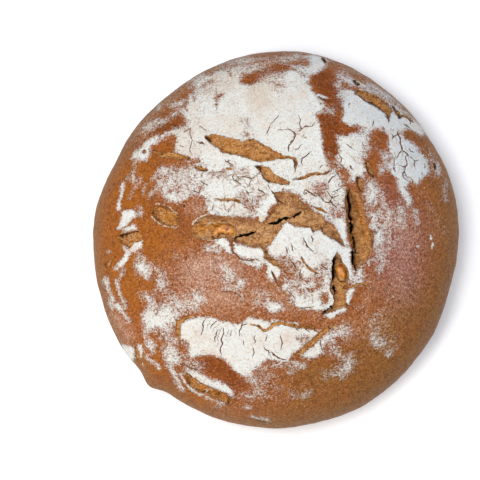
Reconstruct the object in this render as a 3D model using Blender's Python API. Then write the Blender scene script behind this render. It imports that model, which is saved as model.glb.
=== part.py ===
"""Round rye loaf, baked free on the hearth, with torn crust and two nut kernels showing in the tears.

Metres, +Z up. The loaf stands on its flat underside. The origin is the middle of that underside.
"""

import math

import bmesh
import bpy
from mathutils import Matrix, Vector

# Driving dimensions of the whole loaf.
LOAF_RADIUS = 0.1108
LOAF_HEIGHT = 0.084
WIDEST_HEIGHT = 0.034
FOOT_SHARE = 0.77  # radius of the flat underside as a share of the widest radius
CROWN_POWER = 2.3  # 2 is an ellipse; more makes the crown flatter and the shoulder squarer
OVAL_SHARE = 0.016  # how much longer the loaf is along Y than a true round
FOOT_ANGLE = math.radians(32)  # the share of the sphere, below its equator, that becomes the flank
FOOT_EDGE = math.radians(72)  # how far round the flank turns; under 90 it meets the underside at an edge
SPHERE_SUBDIVISIONS = 5

# Where the outline leaves the oval: (azimuth in degrees, half width in degrees, metres outwards).
OUTLINE_SWELLS = (
    (20, 22, 0.0019),
    (52, 15, 0.0012),
    (76, 16, 0.0029),  # the shoulder that bulged when its crust tore
    (99, 16, 0.0012),
    (137, 28, -0.0027),  # pressed side
    (138, 11, 0.0010),
    (153, 6, -0.0008),
    (172, 9, 0.0006),
    (215, 25, 0.0015),
    (229, 3.4, 0.0036),  # lip of the tear in the flank
    (284, 8, -0.0006),
    (340, 15, -0.0007),
)

# Soft rises and hollows of the crown: (x, y, half width, metres upwards).
CROWN_SWELLS = (
    (-0.055, -0.030, 0.030, 0.0012),
    (0.060, -0.020, 0.026, 0.0010),
    (0.012, -0.016, 0.016, 0.0014),  # flap between the three middle tears
    (-0.020, 0.078, 0.022, 0.0010),
    (0.010, -0.050, 0.018, -0.0010),
)

# Tears of the crust: place on the plan, length, width and depth, then how far the length turns
# from +X in degrees, and how far the middle bows sideways.
TEARS = {
    "crown": (-0.018, 0.051, 0.050, 0.0115, 0.0036, -15, 0.0008),
    "crown_short": (-0.002, 0.033, 0.023, 0.0074, 0.0030, -31, -0.0008),
    "crown_slit": (0.023, 0.034, 0.024, 0.0024, 0.0020, 12, 0.0010),
    "middle_left": (-0.022, -0.001, 0.058, 0.0160, 0.0050, 4, -0.0005),
    "middle_join": (0.001, 0.007, 0.030, 0.0125, 0.0052, 34, 0.0),
    "middle_right": (0.019, 0.008, 0.054, 0.0140, 0.0050, -38, 0.0012),
    "middle_spur": (0.000, -0.015, 0.018, 0.0036, 0.0025, -56, 0.0),
    "right": (0.0455, 0.001, 0.049, 0.0135, 0.0070, -84, 0.0025),
    "right_lower": (0.035, -0.029, 0.035, 0.0095, 0.0055, -102, 0.0010),
    "shoulder": (0.057, 0.079, 0.028, 0.0055, 0.0040, -35, 0.0010),
    "left": (-0.065, 0.010, 0.024, 0.0080, 0.0022, -32, 0.0),
    "left_edge": (-0.086, -0.002, 0.015, 0.0060, 0.0022, 5, 0.0),
    "lower_slash": (0.024, -0.062, 0.027, 0.0028, 0.0024, 37, 0.0),
    "lower_edge": (-0.040, -0.089, 0.036, 0.0064, 0.0030, -31, -0.0012),
    "flank": (-0.079, -0.074, 0.018, 0.0050, 0.0025, -63, 0.0),
    "upper_right_slit": (0.049, 0.029, 0.010, 0.0030, 0.0026, -73, 0.0),
}
TEAR_SIDES = 10
TEAR_RINGS = 12
TEAR_ABOVE = 0.0030  # how far a cutter stands out of the crust
TEAR_RAGGED = 0.14  # how far the edges wander, as a share of the width

# Nut kernels baked into the floor of a tear: place on the plan, length, width, thickness, the
# depth of the middle below the crust, turn from +X in degrees.
KERNELS = {
    "kernel_right": (0.0378, -0.0228, 0.0092, 0.0056, 0.0046, 0.0044, -78),
    "kernel_left": (-0.0300, -0.0002, 0.0138, 0.0082, 0.0056, 0.0034, -8),
}
KERNEL_SIDES = 16
KERNEL_RINGS = 10
KERNEL_GAP = 0.0003  # between a kernel and the crumb round it


def clear_scene():
    for obj in list(bpy.data.objects):
        bpy.data.objects.remove(obj)


def new_collection(name):
    collection = bpy.data.collections.new(name)
    bpy.context.scene.collection.children.link(collection)
    return collection


def new_material(name, colour, roughness):
    """A plain food surface: nothing on the loaf is metal."""
    material = bpy.data.materials.new(name)
    material.use_nodes = True
    shader = material.node_tree.nodes["Principled BSDF"]
    shader.inputs["Base Color"].default_value = (*colour, 1.0)
    shader.inputs["Roughness"].default_value = roughness
    shader.inputs["Metallic"].default_value = 0.0
    return material


def new_object(name, bm, collection, material=None):
    mesh = bpy.data.meshes.new(name)
    bm.to_mesh(mesh)
    bm.free()
    obj = bpy.data.objects.new(name, mesh)
    collection.objects.link(obj)
    if material:
        mesh.materials.append(material)
    return obj


def bell(distance, half_width):
    return math.exp(-((distance / half_width) ** 2))


def outline_radius(azimuth):
    """Widest radius of the loaf in one direction, seen from above."""
    radius = LOAF_RADIUS * (1 - OVAL_SHARE * math.cos(2 * azimuth))
    for centre, half_width, outwards in OUTLINE_SWELLS:
        apart = (math.degrees(azimuth) - centre + 180) % 360 - 180
        radius += outwards * bell(apart, half_width)
    return radius


def crown_height(x, y):
    """Height of the crust above the underside, anywhere inside the outline."""
    share = min(1.0, math.hypot(x, y) / outline_radius(math.atan2(y, x)))
    rise = LOAF_HEIGHT - WIDEST_HEIGHT
    height = WIDEST_HEIGHT + rise * math.sqrt(1 - share**CROWN_POWER)
    for centre_x, centre_y, half_width, upwards in CROWN_SWELLS:
        swell = bell(math.hypot(x - centre_x, y - centre_y), half_width)
        height += upwards * swell * (1 - share**2)
    return height


def crust_point(x, y, outwards=0.0):
    """The point over (x, y) on the crust, moved outwards along the crust's normal."""
    step = 0.0005
    shorten = min(1.0, (1 - 4 * step / LOAF_RADIUS) / max(1e-9, plan_share(x, y)))
    x, y = x * shorten, y * shorten
    slope_x = (crown_height(x + step, y) - crown_height(x - step, y)) / (2 * step)
    slope_y = (crown_height(x, y + step) - crown_height(x, y - step)) / (2 * step)
    normal = Vector((-slope_x, -slope_y, 1)).normalized()
    return Vector((x, y, crown_height(x, y))) + normal * outwards


def plan_share(x, y):
    return math.hypot(x, y) / outline_radius(math.atan2(y, x))


def loaf_point(direction):
    """Carries a point of the unit sphere to the loaf: crown, flank or flat underside."""
    latitude = math.asin(max(-1.0, min(1.0, direction.z)))
    azimuth = math.atan2(direction.y, direction.x)
    radius = outline_radius(azimuth)
    foot_radius = FOOT_SHARE * LOAF_RADIUS
    if latitude >= 0:
        radius *= math.cos(latitude)
        height = crown_height(radius * math.cos(azimuth), radius * math.sin(azimuth))
    elif latitude > -FOOT_ANGLE:
        turn = -latitude / FOOT_ANGLE * FOOT_EDGE
        radius -= (radius - foot_radius) * (1 - math.cos(turn)) / (1 - math.cos(FOOT_EDGE))
        height = WIDEST_HEIGHT * (1 - math.sin(turn) / math.sin(FOOT_EDGE))
    else:
        radius = foot_radius * math.cos(latitude) / math.cos(FOOT_ANGLE)
        height = 0.0
    return Vector((radius * math.cos(azimuth), radius * math.sin(azimuth), height))


def make_loaf_body(collection, material):
    """The whole loaf before it tears, with its underside as one flat face inside a round rim."""
    bm = bmesh.new()
    bmesh.ops.create_icosphere(bm, subdivisions=SPHERE_SUBDIVISIONS, radius=1.0)
    for vert in bm.verts:
        vert.co = loaf_point(vert.co.normalized())
    underside = [face for face in bm.faces if all(vert.co.z == 0 for vert in face.verts)]
    for foot in bmesh.ops.dissolve_faces(bm, faces=underside)["region"]:
        for vert in foot.verts:
            vert.co = vert.co.normalized() * FOOT_SHARE * LOAF_RADIUS
    loaf = new_object("loaf", bm, collection, material)
    loaf.data.shade_smooth()
    loaf.data.set_sharp_from_angle(angle=math.radians(50))
    return loaf


def make_tear_cutter(name, size, collection):
    """A pointed spindle that follows the crust: a sphere tapered to both ends and laid on it."""
    x, y, length, width, depth, turn, bow = size
    bm = bmesh.new()
    bmesh.ops.create_uvsphere(bm, u_segments=TEAR_SIDES, v_segments=TEAR_RINGS, radius=1.0)
    along = Vector((math.cos(math.radians(turn)), math.sin(math.radians(turn))))
    across = Vector((-along.y, along.x))
    for vert in bm.verts:
        # The sphere's poles become the tear's two tips.
        forward, side, up = vert.co.z, vert.co.x, vert.co.y
        taper = max(0.0, 1 - forward**2)
        wander = 1 + TEAR_RAGGED * math.sin(8 * forward + turn + math.copysign(1.3, side))
        sideways = bow * taper + side * width / 2 * math.sqrt(taper) * wander
        place = Vector((x, y)) + along * forward * length / 2 + across * sideways
        reach = TEAR_ABOVE if up > 0 else depth
        vert.co = crust_point(place.x, place.y, up * reach)
    return new_object("cut_" + name, bm, collection)


def make_kernel(name, size, collection, material=None, grown=0.0):
    """A smooth egg-shaped kernel, lying along the floor of its tear."""
    x, y, length, width, thickness, depth, turn = size
    bm = bmesh.new()
    bmesh.ops.create_uvsphere(bm, u_segments=KERNEL_SIDES, v_segments=KERNEL_RINGS, radius=1.0)
    half = Vector((width / 2 + grown, thickness / 2 + grown, length / 2 + grown))
    for vert in bm.verts:
        blunt = 1 - 0.15 * vert.co.z  # one end is a little narrower
        vert.co = Vector((vert.co.x * half.x * blunt, vert.co.y * half.y * blunt, vert.co.z * half.z))
    kernel = new_object(name, bm, collection, material)
    # The egg's long axis is its Z: lay it over to X, then turn it on the plan.
    lie_down = Matrix.Rotation(math.pi / 2, 4, "Y")
    kernel.matrix_world = (
        Matrix.Translation(crust_point(x, y, -depth))
        @ Matrix.Rotation(math.radians(turn), 4, "Z")
        @ lie_down
    )
    kernel.data.shade_smooth()
    return kernel


def cut(target, cutter):
    cutter.hide_render = True
    cutter.display_type = "WIRE"
    modifier = target.modifiers.new(cutter.name, "BOOLEAN")
    modifier.operation = "DIFFERENCE"
    modifier.solver = "EXACT"
    modifier.object = cutter


def centre_on_origin(loaf):
    """Moves everything together so that the loaf's own box stands in the middle of the origin."""
    points = [vert.co for vert in loaf.data.vertices]
    middle_x = (min(point.x for point in points) + max(point.x for point in points)) / 2
    middle_y = (min(point.y for point in points) + max(point.y for point in points)) / 2
    for obj in bpy.data.objects:
        obj.location -= Vector((middle_x, middle_y, 0.0))
    return middle_x, middle_y


def main():
    clear_scene()
    parts = new_collection("rye_loaf")
    cutters = new_collection("cutters")
    crust = new_material("crust", (0.42, 0.17, 0.055), 0.62)
    kernel_skin = new_material("kernel", (0.60, 0.27, 0.06), 0.35)

    loaf = make_loaf_body(parts, crust)
    for name, size in TEARS.items():
        cut(loaf, make_tear_cutter(name, size, cutters))
    for name, size in KERNELS.items():
        make_kernel(name, size, parts, kernel_skin)
        cut(loaf, make_kernel("pocket_" + name, size, cutters, grown=KERNEL_GAP))
    centre_on_origin(loaf)


main()
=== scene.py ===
import math

import bmesh
import bpy
import numpy as np
from mathutils import Matrix, Vector, noise


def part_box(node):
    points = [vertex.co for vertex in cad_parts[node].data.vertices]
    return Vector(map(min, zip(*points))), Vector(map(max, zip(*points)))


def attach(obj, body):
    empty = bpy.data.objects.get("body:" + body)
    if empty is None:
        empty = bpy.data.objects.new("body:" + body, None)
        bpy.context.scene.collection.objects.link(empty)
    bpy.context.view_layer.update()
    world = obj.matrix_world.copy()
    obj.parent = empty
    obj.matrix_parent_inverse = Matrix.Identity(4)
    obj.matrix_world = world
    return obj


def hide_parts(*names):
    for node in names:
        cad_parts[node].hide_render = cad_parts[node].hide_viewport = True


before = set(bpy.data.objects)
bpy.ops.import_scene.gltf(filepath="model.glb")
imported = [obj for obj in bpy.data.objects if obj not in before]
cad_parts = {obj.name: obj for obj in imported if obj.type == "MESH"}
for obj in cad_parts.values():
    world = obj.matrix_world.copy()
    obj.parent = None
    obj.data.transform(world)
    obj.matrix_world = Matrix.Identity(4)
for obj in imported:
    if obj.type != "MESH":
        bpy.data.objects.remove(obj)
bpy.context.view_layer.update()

# Rye bread loaf: a round hearth loaf with a floured, cracked crust and open tears.
# Places on the crust are millimetres on the plan: x to the right, y away from the viewer.
mm = 0.001


def linearColour(hexText):
    channels = [int(hexText[i:i + 2], 16) / 255 for i in (1, 3, 5)]
    return [c / 12.92 if c <= 0.04045 else ((c + 0.055) / 1.055) ** 2.4 for c in channels] + [1.0]


def addNode(tree, kind, inputs=None, output=0, **settings):
    # an input that is another node's output is linked, any other is a plain value
    node = tree.nodes.new(kind)
    for name, value in settings.items():
        setattr(node, name, value)
    for socket, value in (inputs or {}).items():
        if isinstance(value, bpy.types.NodeSocket):
            tree.links.new(value, node.inputs[socket])
        else:
            node.inputs[socket].default_value = value
    return node.outputs[output]


def smooth(low, high, value):
    t = np.clip((value - low) / (high - low), 0, 1)
    return t * t * (3 - 2 * t)


def wander(points, size, octaves=3, seed=0):
    # fractal noise, about -1 to 1, with features of that size in millimetres
    moved = points / size + seed * 17.3
    return np.array([noise.fractal(p, 0.8, 2.0, octaves) for p in moved.tolist()])


# The loaf's form, the same as the solid's, in millimetres and degrees.
loafForm = {
    "radius": 110.8,
    "height": 84,
    "widestHeight": 34,
    "footShare": 0.77,  # the foot's radius as a share of the loaf's
    "crownPower": 2.3,
    "oval": 0.016,
    "footAngle": 32,
    "footEdge": 72,  # how far round the flank turns before it meets the floor at an edge
    "flankLength": 47,
    # azimuth and half width in degrees, millimetres outwards
    "outlineSwells": [
        (20, 22, 1.9), (52, 15, 1.2), (76, 16, 2.9), (99, 16, 1.2), (137, 28, -2.7), (138, 11, 1.0),
        (153, 6, -0.8), (172, 9, 0.6), (215, 25, 1.5), (229, 3.4, 3.6), (284, 8, -0.6), (340, 15, -0.7)],
    # x, y, half width, millimetres upwards
    "crownSwells": [
        (-55, -30, 30, 1.2), (60, -20, 26, 1.0), (12, -16, 16, 1.4), (-20, 78, 22, 1.0), (10, -50, 18, -1.0)],
}


def outlineRadius(azimuth):
    radius = loafForm["radius"] * (1 - loafForm["oval"] * np.cos(2 * azimuth))
    for centre, halfWidth, outwards in loafForm["outlineSwells"]:
        apart = (np.degrees(azimuth) - centre + 180) % 360 - 180
        radius = radius + outwards * np.exp(-((apart / halfWidth) ** 2))
    return radius


def crownHeight(x, y):
    share = np.minimum(1, np.hypot(x, y) / outlineRadius(np.arctan2(y, x)))
    rise = loafForm["height"] - loafForm["widestHeight"]
    height = loafForm["widestHeight"] + rise * np.sqrt(1 - share ** loafForm["crownPower"])
    for centreX, centreY, halfWidth, upwards in loafForm["crownSwells"]:
        swell = np.exp(-((x - centreX) ** 2 + (y - centreY) ** 2) / halfWidth ** 2)
        height = height + upwards * swell * (1 - share ** 2)
    return height


def loafSurface(directions):
    # carries points of the unit sphere to the crown, the flank or the foot
    latitude = np.arcsin(np.clip(directions[:, 2], -1, 1))
    azimuth = np.arctan2(directions[:, 1], directions[:, 0])
    outline = outlineRadius(azimuth)
    footRadius = loafForm["footShare"] * loafForm["radius"]
    footAngle, footEdge = math.radians(loafForm["footAngle"]), math.radians(loafForm["footEdge"])
    onCrown = latitude >= 0
    onFoot = latitude <= -footAngle
    turn = np.clip(-latitude / footAngle, 0, 1) * footEdge
    inwards = (outline - footRadius) * (1 - np.cos(turn)) / (1 - math.cos(footEdge))
    radius = np.where(onCrown, outline * np.cos(latitude), outline - inwards)
    radius = np.where(onFoot, footRadius * np.cos(latitude) / math.cos(footAngle), radius)
    height = loafForm["widestHeight"] * (1 - np.sin(turn) / math.sin(footEdge))
    x, y = radius * np.cos(azimuth), radius * np.sin(azimuth)
    height = np.where(onCrown, crownHeight(x, y), np.where(onFoot, 0.0, height))
    # the plan rolled out flat, so that nothing on the crown repeats under the rim
    rolled = np.where(onCrown, radius, outline + loafForm["flankLength"] * turn / footEdge)
    rolled = np.where(onFoot, rolled + footRadius - radius, rolled)
    return np.stack([x, y, height], 1), np.stack([rolled * np.cos(azimuth), rolled * np.sin(azimuth)], 1)


# Tears of the crust, their outlines on the plan.
# drop: how far the crumb lies below the crust; rise: how far its middle comes back up;
# lip: how far the crust's edge curls up; golden: 0 pale crumb, 1 baked golden crumb.
tears = {
    "crown": {
        "outline": [
            (-41.9, 57.1), (-40.4, 58), (-36.2, 58.4), (-29.6, 57), (-23, 55), (-19.4, 54.3), (-15.8, 55),
            (-12.2, 54.6), (-5.6, 50.5), (0.3, 47), (3.3, 45.5), (7.5, 44.9), (11.7, 44), (12.2, 41.2),
            (11.6, 37.6), (11, 35.1), (10.3, 37.5), (10.8, 40.6), (9.6, 42.9), (3.3, 43), (-3.9, 41.8),
            (-9.2, 41), (-15.2, 42.5), (-21.2, 45), (-27.2, 46.4), (-31.4, 47.1), (-35.6, 50.9),
            (-40.4, 54.8)],
        "drop": 2.4, "rise": 0.7, "lip": 0.35, "golden": 0.75},
    "crownShort": {
        "outline": [
            (-12.2, 38.5), (-9.2, 38.9), (-5.7, 38.4), (-3.3, 37.2), (-1.5, 34.5), (3.9, 31.1), (8.6, 29),
            (6.8, 27.5), (2.1, 28.1), (-1.5, 28.1), (-4.5, 29.3), (-7.5, 31.4), (-9, 34.5)],
        "drop": 2.2, "rise": 0.3, "lip": 0.3, "golden": 0.55},
    "middle": {
        "outline": [
            (-50.2, 0.4), (-48.7, 4), (-45.7, 7), (-41.6, 9), (-37.4, 9.8), (-29.6, 9.1), (-24.3, 8),
            (-17.7, 7.8), (-13.6, 6.9), (-10, 5.4), (-6.4, 6), (-4.1, 9.5), (-1.7, 12.6), (0.7, 15.6),
            (-0.5, 19.2), (-2.2, 22.8), (2.5, 23.7), (9.1, 22.8), (11.8, 21.6), (15, 16.8), (20.4, 12.6),
            (25.7, 9.7), (28.1, 6.1), (31.7, 4.3), (34.6, 1.4), (37, -1.6), (38.8, -5.8), (40.6, -8.7),
            (37, -6.1), (34, -4.6), (28.1, -2), (25.7, 1.9), (21.5, 0), (20.3, 1.8), (16.8, 2.4),
            (10.2, 3), (6.1, 5.1), (3.7, 3.6), (2.5, 0.6), (0.1, -1.8), (-1.7, -4.8), (-3.5, -7.8),
            (-7.6, -9.6), (-15.4, -8.7), (-19.5, -7.5), (-25.5, -4.7), (-31.4, -3.5), (-39.2, -4.6),
            (-43.3, -4.2), (-46.9, -3.2), (-49.3, -1.4)],
        "drop": 2.6, "rise": 1.5, "lip": 0.5, "golden": 0.25},
    "right": {
        "outline": [
            (41.4, 25.9), (40.4, 21.3), (40.4, 17.1), (41, 12.3), (40.9, 6.3), (41.8, 0.3), (43, -5.7),
            (43.9, -9.3), (44.2, -14.6), (44.5, -18.8), (46, -22.3), (48.4, -19.9), (50.8, -17.5),
            (53.8, -15.6), (55.3, -12.6), (56.4, -9), (56.8, -4.2), (57, -1.5), (59.6, 0.7), (56.3, 0),
            (54.5, 1.7), (53.3, 5.3), (52.7, 8.9), (51.2, 13.7), (49.7, 18.5), (47.4, 22.7),
            (44.7, 24.8)],
        "drop": 3.0, "rise": 0.6, "lip": 0.5, "golden": 0.6},
    "kernelTear": {
        "outline": [
            (35.5, -12.1), (37.3, -14.7), (38.5, -17.7), (40.6, -20.6), (42.4, -24.1), (41.8, -27.7),
            (40.3, -30.7), (40.3, -35.4), (40.9, -41.3), (40.6, -43), (37.6, -44.3), (34, -45.5),
            (30.4, -47.3), (26.6, -48), (29.8, -44.6), (32.5, -42.9), (33.4, -40.8), (32.5, -37.3),
            (31, -33.7), (31.3, -29.6), (32.2, -23.7), (32.8, -17.7), (34, -14.2)],
        "drop": 3.2, "rise": 0.4, "lip": 0.4, "golden": 0.5},
    "shoulder": {
        "outline": [
            (46, 86.9), (49.7, 86.9), (53.5, 87.6), (57.1, 85.1), (60.8, 82.7), (64.4, 80.3),
            (67.5, 77.9), (69.2, 75.4), (67.4, 70.3), (65.3, 72.8), (62.3, 75.2), (59.3, 77.7),
            (56.2, 79.5), (53.2, 79.9), (50.2, 83.1), (47.1, 84.9)],
        "drop": 2.6, "rise": 0.3, "lip": 0.5, "golden": 0.6},
    "leftEye": {
        "outline": [
            (-72.8, 13.3), (-71, 15.8), (-67.4, 16.1), (-63.8, 14.2), (-60.1, 12.3), (-56.5, 9.6),
            (-55.6, 6.9), (-57.1, 4.3), (-60.1, 3.8), (-63.7, 4.4), (-67.4, 6.3), (-71, 8.8)],
        "drop": 1.6, "rise": 1.0, "lip": 0.5, "golden": 1.0},
    "leftRim": {
        "outline": [
            (-93.7, -1.2), (-91.8, 0.3), (-89.3, 1.4), (-85.6, 1.5), (-81.3, 1.6), (-78.9, -0.4),
            (-79.5, -3.9), (-83.1, -5), (-85.6, -7.2), (-88.7, -5.8), (-91.8, -3.8)],
        "drop": 1.8, "rise": 0.9, "lip": 0.4, "golden": 0.95},
    "lowerRim": {
        "outline": [
            (-54.8, -80.1), (-52.4, -80.7), (-47.6, -83.7), (-44, -86.7), (-39.2, -88.8), (-34.4, -91.5),
            (-30.2, -94.4), (-26.6, -95.6), (-26, -98.5), (-29, -99), (-33.2, -96.7), (-38, -94.3),
            (-42.8, -91.9), (-47, -91.2), (-50.6, -88.3), (-53.6, -83.6)],
        "drop": 2.4, "rise": 0.5, "lip": 0.5, "golden": 0.8},
}

# narrow tears: half width, drop, golden, then the line that they follow
slits = {
    "crownSlit": (0.9, 1.2, 0.8, [
        (11, 31.4), (13.4, 31.1), (16.1, 32.1), (22.4, 34.6), (27.2, 34.3), (32, 36.2)]),
    "plateSlit": (0.8, 1.0, 0.8, [
        (-36.1, 20.2), (-32.5, 18.8), (-24.2, 18.8), (-21.2, 17.3), (-18.2, 16)]),
    "leftSlit": (1.2, 1.2, 0.8, [(-47.8, 39.2), (-45.1, 37.8), (-40.3, 36.8)]),
    "leftSlitTail": (0.7, 0.8, 0.8, [(-30.1, 37.8), (-26, 37.4)]),
    "leftCrack": (1.6, 1.0, 0.9, [(-72.6, 50.1), (-67.7, 47.2), (-61.6, 46.5), (-50.7, 44.1)]),
    "spur": (1.5, 1.8, 0.4, [(-6.7, -8.6), (-6.2, -13.8), (-3.5, -16.7), (0.1, -19.1), (4.5, -22.4)]),
    "rightSlit": (1.2, 2.2, 0.7, [(53.3, 41.3), (54.8, 37), (57.2, 33.7)]),
    "rightSlitLow": (1.5, 2.4, 0.6, [(48.1, 32.8), (48.6, 29.5), (49.8, 26.4), (51.1, 24)]),
    "lowerSlash": (1.4, 1.8, 0.6, [
        (34.4, -53.5), (31.4, -55.3), (26.1, -58.8), (21.3, -63.5), (16.6, -67.6), (11.8, -71.2)]),
    "lowerHook": (1.3, 1.2, 0.9, [
        (-49.2, -48.7), (-53.4, -49.8), (-57, -52), (-57.9, -55.5), (-57, -59.1), (-56.4, -62)]),
    "lowerCurl": (1.0, 1.0, 0.9, [
        (-15.2, -53.7), (-10.5, -54.9), (-6.9, -57.4), (-3.9, -56.2), (-1.6, -53.8), (2.8, -52.8),
        (7.6, -54.2), (16.5, -55.4), (20.7, -55.9), (24.3, -58.2)]),
    "shoulderEnd": (1.1, 1.8, 0.5, [(70.8, 77), (72.5, 75.4), (74.2, 71.6)]),
    "shoulderCrack": (0.7, 1.0, 0.6, [(73, 70.8), (75.4, 73), (78.6, 72.4), (82, 69.6)]),
    "shoulderHole": (1.0, 1.8, 0.5, [(46.6, 94.3), (49.9, 90.8)]),
    "topHole": (1.0, 2.0, 0.6, [(27.5, 108), (30.8, 105.2)]),
    "flapSlit": (0.9, 1.2, 0.8, [(21.6, 14.7), (23.9, 13.6), (26.9, 12.7), (29.3, 10.9)]),
    "rightSpur": (0.9, 1.0, 0.8, [(41, -33), (44.8, -31.2), (49, -30.2), (52.6, -29.9)]),
    "kernelSlit": (0.8, 1.0, 0.7, [(14.3, -14.9), (16.7, -19.1), (20.3, -22.6), (25, -24.9)]),
    "plateCrack": (0.6, 0.8, 0.7, [(-2.9, -23.3), (0.7, -30.4), (4.8, -35.7), (9.6, -39.8)]),
    "flankTear": (1.2, 1.6, 0.9, [(-82.8, -65.1), (-81.9, -69.2), (-80.9, -73.5)]),
    "pinkCrack": (0.8, 0.9, 0.8, [(-26.6, -30.8), (-22.5, -29.1)]),
    "leftPore": (1.3, 1.0, 0.7, [(-78.4, 50.1), (-77, 49.7)]),
    "leftNick": (1.0, 1.0, 0.8, [(-100.3, -18.1), (-97.1, -13.6)]),
    "rimNick": (0.8, 1.4, 0.5, [(94.4, 44.6), (94.9, 40)]),
}

# Kernels baked into the crumb. Their spine: plan place, millimetres up from the node's middle, half width.
kernels = {
    "rightKernel": {"node": "kernel_right", "flat": 0.85, "spine": [
        (36.8, -18.2, 0, 2.5), (37.2, -20.2, 0.2, 3), (37.8, -22.8, 0.3, 3), (38.4, -25.2, 0.2, 2.5),
        (38.8, -27.2, -0.2, 1.7)]},
    "leftKernel": {"node": "kernel_left", "flat": 0.9, "spine": [
        (-36.2, -1.8, 0.6, 1.5), (-34.8, 0.8, 1.0, 1.9), (-32, 2.2, 1.4, 2.4), (-29, 2, 1.6, 2.9),
        (-26.6, 0.2, 1.6, 3.3), (-26.4, -2.2, 1.1, 2.7)]},
}

# fissures deep in the crumb, painted nearly black as their shade: half width, depth, the line that they
# follow
fissures = [
    (0.8, 3.0, [(-24.2, -3.1), (-20.7, -2.2), (-17.7, -1.7), (-15.4, -0.9), (-12, 0.3)]),
    (0.9, 3.0, [(-5, 4.8), (-2.5, 5.4), (0, 5), (2, 6.6), (4.4, 8), (6.4, 8.2), (8.6, 8.6)]),
    (0.75, 2.6, [(9, 8.8), (12.4, 10.4), (14.6, 12)]),
    (0.75, 3.2, [(43, 25), (43.2, 22.2), (43.5, 19.4), (44.3, 16.8), (44.3, 14.6), (43.4, 12.6)]),
    (1.0, 3.8, [(43.3, 13), (44.3, 9.5), (44.6, 7), (45.2, 4.6), (44.7, 2), (44.5, 0.2)]),
    (0.6, 3.2, [(45.4, -1.6), (46.6, -5), (46.3, -8.6)]),
    (1.3, 4.0, [(45.2, -10), (44.8, -13), (45, -16), (45.6, -19), (46.2, -22.4)]),
    (0.55, 2.4, [(56.6, 81.8), (58.8, 80), (61.4, 78.4), (63.6, 76), (65.8, 73)]),
    (1.0, 3.4, [(34.8, -13.4), (33.8, -17.4), (33.5, -21), (33.8, -24.4), (33.6, -28.4)]),
    (0.65, 2.6, [(33.4, -30.6), (34.2, -33), (34.9, -36.6)]),
    (0.55, 2.4, [(32.4, -43.2), (29.4, -45.6), (26.4, -48)]),
]

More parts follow.
